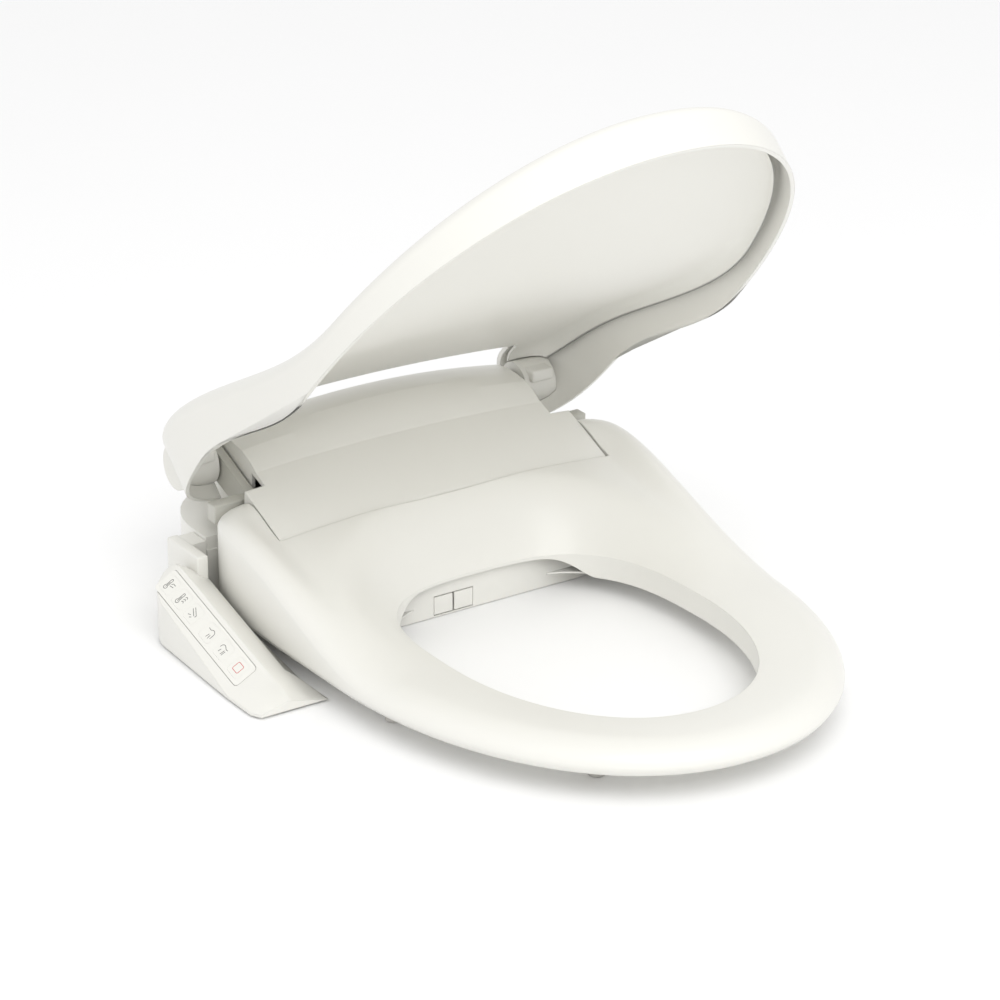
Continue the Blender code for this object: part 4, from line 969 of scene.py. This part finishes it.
def stroke_mesh(bm, points, width, closed=False):
    """A flat ribbon of one width along points, just proud of the face."""
    pts = [Vector(p) for p in points]
    count = len(pts)
    rows = []
    for i, p in enumerate(pts):
        before = pts[i - 1] if i or closed else p
        after = pts[(i + 1) % count] if i < count - 1 or closed else p
        along = (after - before).normalized()
        side = Vector((-along.y, along.x)) * width / 2
        ring = []
        for offset, z in ((side, 0.0), (side, ICON_HEIGHT), (-side, ICON_HEIGHT), (-side, 0.0)):
            ring.append(bm.verts.new((p.x + offset.x, p.y + offset.y, FACE_TOP + ICON_CLEAR + z)))
        rows.append(ring)
    pairs = zip(rows, rows[1:] + rows[:1]) if closed else zip(rows, rows[1:])
    for one, two in pairs:
        for k in range(4):
            bm.faces.new((one[k], one[(k + 1) % 4], two[(k + 1) % 4], two[k]))
    if not closed:
        bm.faces.new(rows[0])
        bm.faces.new(rows[-1])


def arc(cx, cy, radius, start, end):
    """Points along an arc, from one angle in degrees to another."""
    turns = [math.radians(start + (end - start) * i / ARC_STEPS) for i in range(ARC_STEPS + 1)]
    return [(cx + radius * math.cos(a), cy + radius * math.sin(a)) for a in turns]


def thermometer(cx):
    """A bulb with a rounded stem, and the line of its liquid."""
    bulb = arc(cx, -0.0022, 0.0011, 125, 415)
    return [bulb + [(cx + 0.0006, 0.0022)] + arc(cx, 0.0022, 0.0006, 0, 180) + [bulb[0]],
            [(cx, -0.0022), (cx, 0.0010)]]


# Each icon is a list of strokes in the face's frame, in metres from the key's middle.
ICONS = {
    "key_stop": [rounded_rectangle(-0.0023, 0.0023, -0.0023, 0.0023, 0.0007, 4)],
    "key_front": [arc(-0.0016, 0.0004, 0.0016, 200, 60) + [(0.0008, 0.0010), (0.0020, 0.0012)],
                  [(0.0006, 0.0001), (0.0002, -0.0026)],
                  [(0.0014, 0.0000), (0.0012, -0.0026)],
                  [(-0.0016, -0.0006), (-0.0020, -0.0024)]],
    "key_rear": [arc(0.0010, 0.0004, 0.0019, 150, 0) + [(0.0029, -0.0018)],
                 [(-0.0026, 0.0016), (-0.0008, 0.0014)],
                 [(0.0004, -0.0004), (0.0000, -0.0026)],
                 [(0.0014, -0.0004), (0.0016, -0.0026)]],
    "key_position": [[(-0.0028, 0.0014), (0.0012, -0.0008)],
                     [(-0.0022, 0.0026), (0.0018, 0.0004)],
                     arc(0.0015, -0.0002, 0.0007, -60, 60),
                     [(-0.0008, -0.0014), (-0.0024, -0.0022)],
                     [(0.0006, -0.0020), (-0.0004, -0.0028)]],
    "key_water_temp": thermometer(-0.0012) + [arc(0.0016, y, 0.0007, 180, 0)
                                              for y in (0.0018, 0.0004, -0.0010)],
    "key_seat_temp": thermometer(-0.0012) + [[(0.0004, 0.0006), (0.0012, 0.0016), (0.0030, 0.0016)],
                                             [(0.0004, -0.0004), (0.0028, 0.0002)]],
}


def closed_icon(name, points):
    return name == "key_stop" or points[0] == points[-1]


def make_icons():
    """Generic line icons, one on each key."""
    for name, along, across in KEYS:
        bm = bmesh.new()
        for points in ICONS[name]:
            moved = [(along + ICON_SCALE * x, across + ICON_SCALE * y) for x, y in points]
            if points[0] == points[-1]:
                moved = moved[:-1]
            stroke_mesh(bm, moved, ICON_WIDTH, closed_icon(name, points))
        bmesh.ops.recalc_face_normals(bm, faces=bm.faces)
        mesh = bpy.data.meshes.new(f"icon_{name}")
        bm.to_mesh(mesh)
        bm.free()
        mesh.transform(face_frame())
        icon = fine_piece(mesh, f"icon_{name}", "icon_red" if name == "key_stop" else "icon_grey")
        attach(icon, name)


# Stage, light and camera

CAMERA_AZ, CAMERA_EL, CAMERA_DISTANCE = -33.5, 22.7, 2.5
CAMERA_AIM = Vector((-0.0867, -0.282, 0.2012))
CAMERA_LENS, AIM_DROP = 135.8, 0.76   # millimetres on a 36 mm sensor, and degrees
STUDIO_STRENGTH = 0.91
LIGHT_AIM = Vector((0.0, -0.2, 0.1))
# Name, azimuth and elevation in degrees, distance and width in metres, watts.
LIGHTS = (("key", -14, 48, 2.3, 1.6, 20.0), ("fill", -60, 30, 2.6, 2.0, 3.0))
FLOOR_SIZE, FLOOR_Z, FLOOR_GREY = 12.0, -0.0005, 0.96


def spherical(azimuth, elevation):
    """The direction at these angles in degrees; azimuth 0 is the object's front."""
    a, e = math.radians(azimuth), math.radians(elevation)
    return Vector((math.sin(a) * math.cos(e), -math.cos(a) * math.cos(e), math.sin(e)))


def make_camera():
    camera = bpy.data.objects.new("camera", bpy.data.cameras.new("camera"))
    bpy.context.scene.collection.objects.link(camera)
    camera.location = CAMERA_AIM + spherical(CAMERA_AZ, CAMERA_EL) * CAMERA_DISTANCE
    looking = -spherical(CAMERA_AZ, CAMERA_EL + AIM_DROP)
    camera.rotation_euler = looking.to_track_quat("-Z", "Y").to_euler()
    camera.data.lens = CAMERA_LENS
    camera.data.sensor_width = 36.0
    camera.data.clip_end = 20.0
    bpy.context.scene.camera = camera


def area_light(name, azimuth, elevation, distance, size, power):
    light = bpy.data.lights.new(name, "AREA")
    light.energy, light.size = power, size
    lamp = bpy.data.objects.new(name, light)
    bpy.context.scene.collection.objects.link(lamp)
    lamp.location = LIGHT_AIM + spherical(azimuth, elevation) * distance
    lamp.rotation_euler = (-spherical(azimuth, elevation)).to_track_quat("-Z", "Y").to_euler()


def make_floor():
    bpy.ops.mesh.primitive_plane_add(size=FLOOR_SIZE, location=(0.0, 0.0, FLOOR_Z))
    floor = bpy.context.object
    floor.name = "floor"
    floor.data.materials.append(procedural("floor", (FLOOR_GREY,) * 3, spread=0.004, roughness=(0.8, 0.9),
                                           grain=60.0, bump=0.0, edge=0.0))


def light_studio():
    """Even light from all round, with a soft key from the front and a weak fill from the arm's side."""
    world = bpy.data.worlds.new("studio")
    world.use_nodes = True
    bpy.context.scene.world = world
    background = world.node_tree.nodes["Background"]
    background.inputs["Color"].default_value = (1.0, 1.0, 1.0, 1.0)
    background.inputs["Strength"].default_value = STUDIO_STRENGTH
    for settings in LIGHTS:
        area_light(*settings)
    bpy.context.scene.view_settings.view_transform = "Standard"
    bpy.context.scene.view_settings.exposure = 0.0


def dress_hidden_nodes():
    """The pieces that keep their CAD shape take a finish too."""
    for name, obj in frame["nodes"].items():
        if not obj.hide_render:
            finish = FINISHES[SLOT_OF[name]]
            for slot in obj.material_slots:
                slot.material = finish


make_lower_casing()
make_upper_cover()
make_release_button()
make_arm()
make_panel()
make_seat()
make_seat_bumpers()
make_seat_hinges()
make_lid()
make_lid_panel()
make_lid_hinges()
for wand, centre_x in (("rear", WAND_CENTRE_X - WAND_X), ("front", WAND_CENTRE_X + WAND_X)):
    make_wand_cap(wand, centre_x)
make_icons()
dress_hidden_nodes()
make_floor()
light_studio()
make_camera()
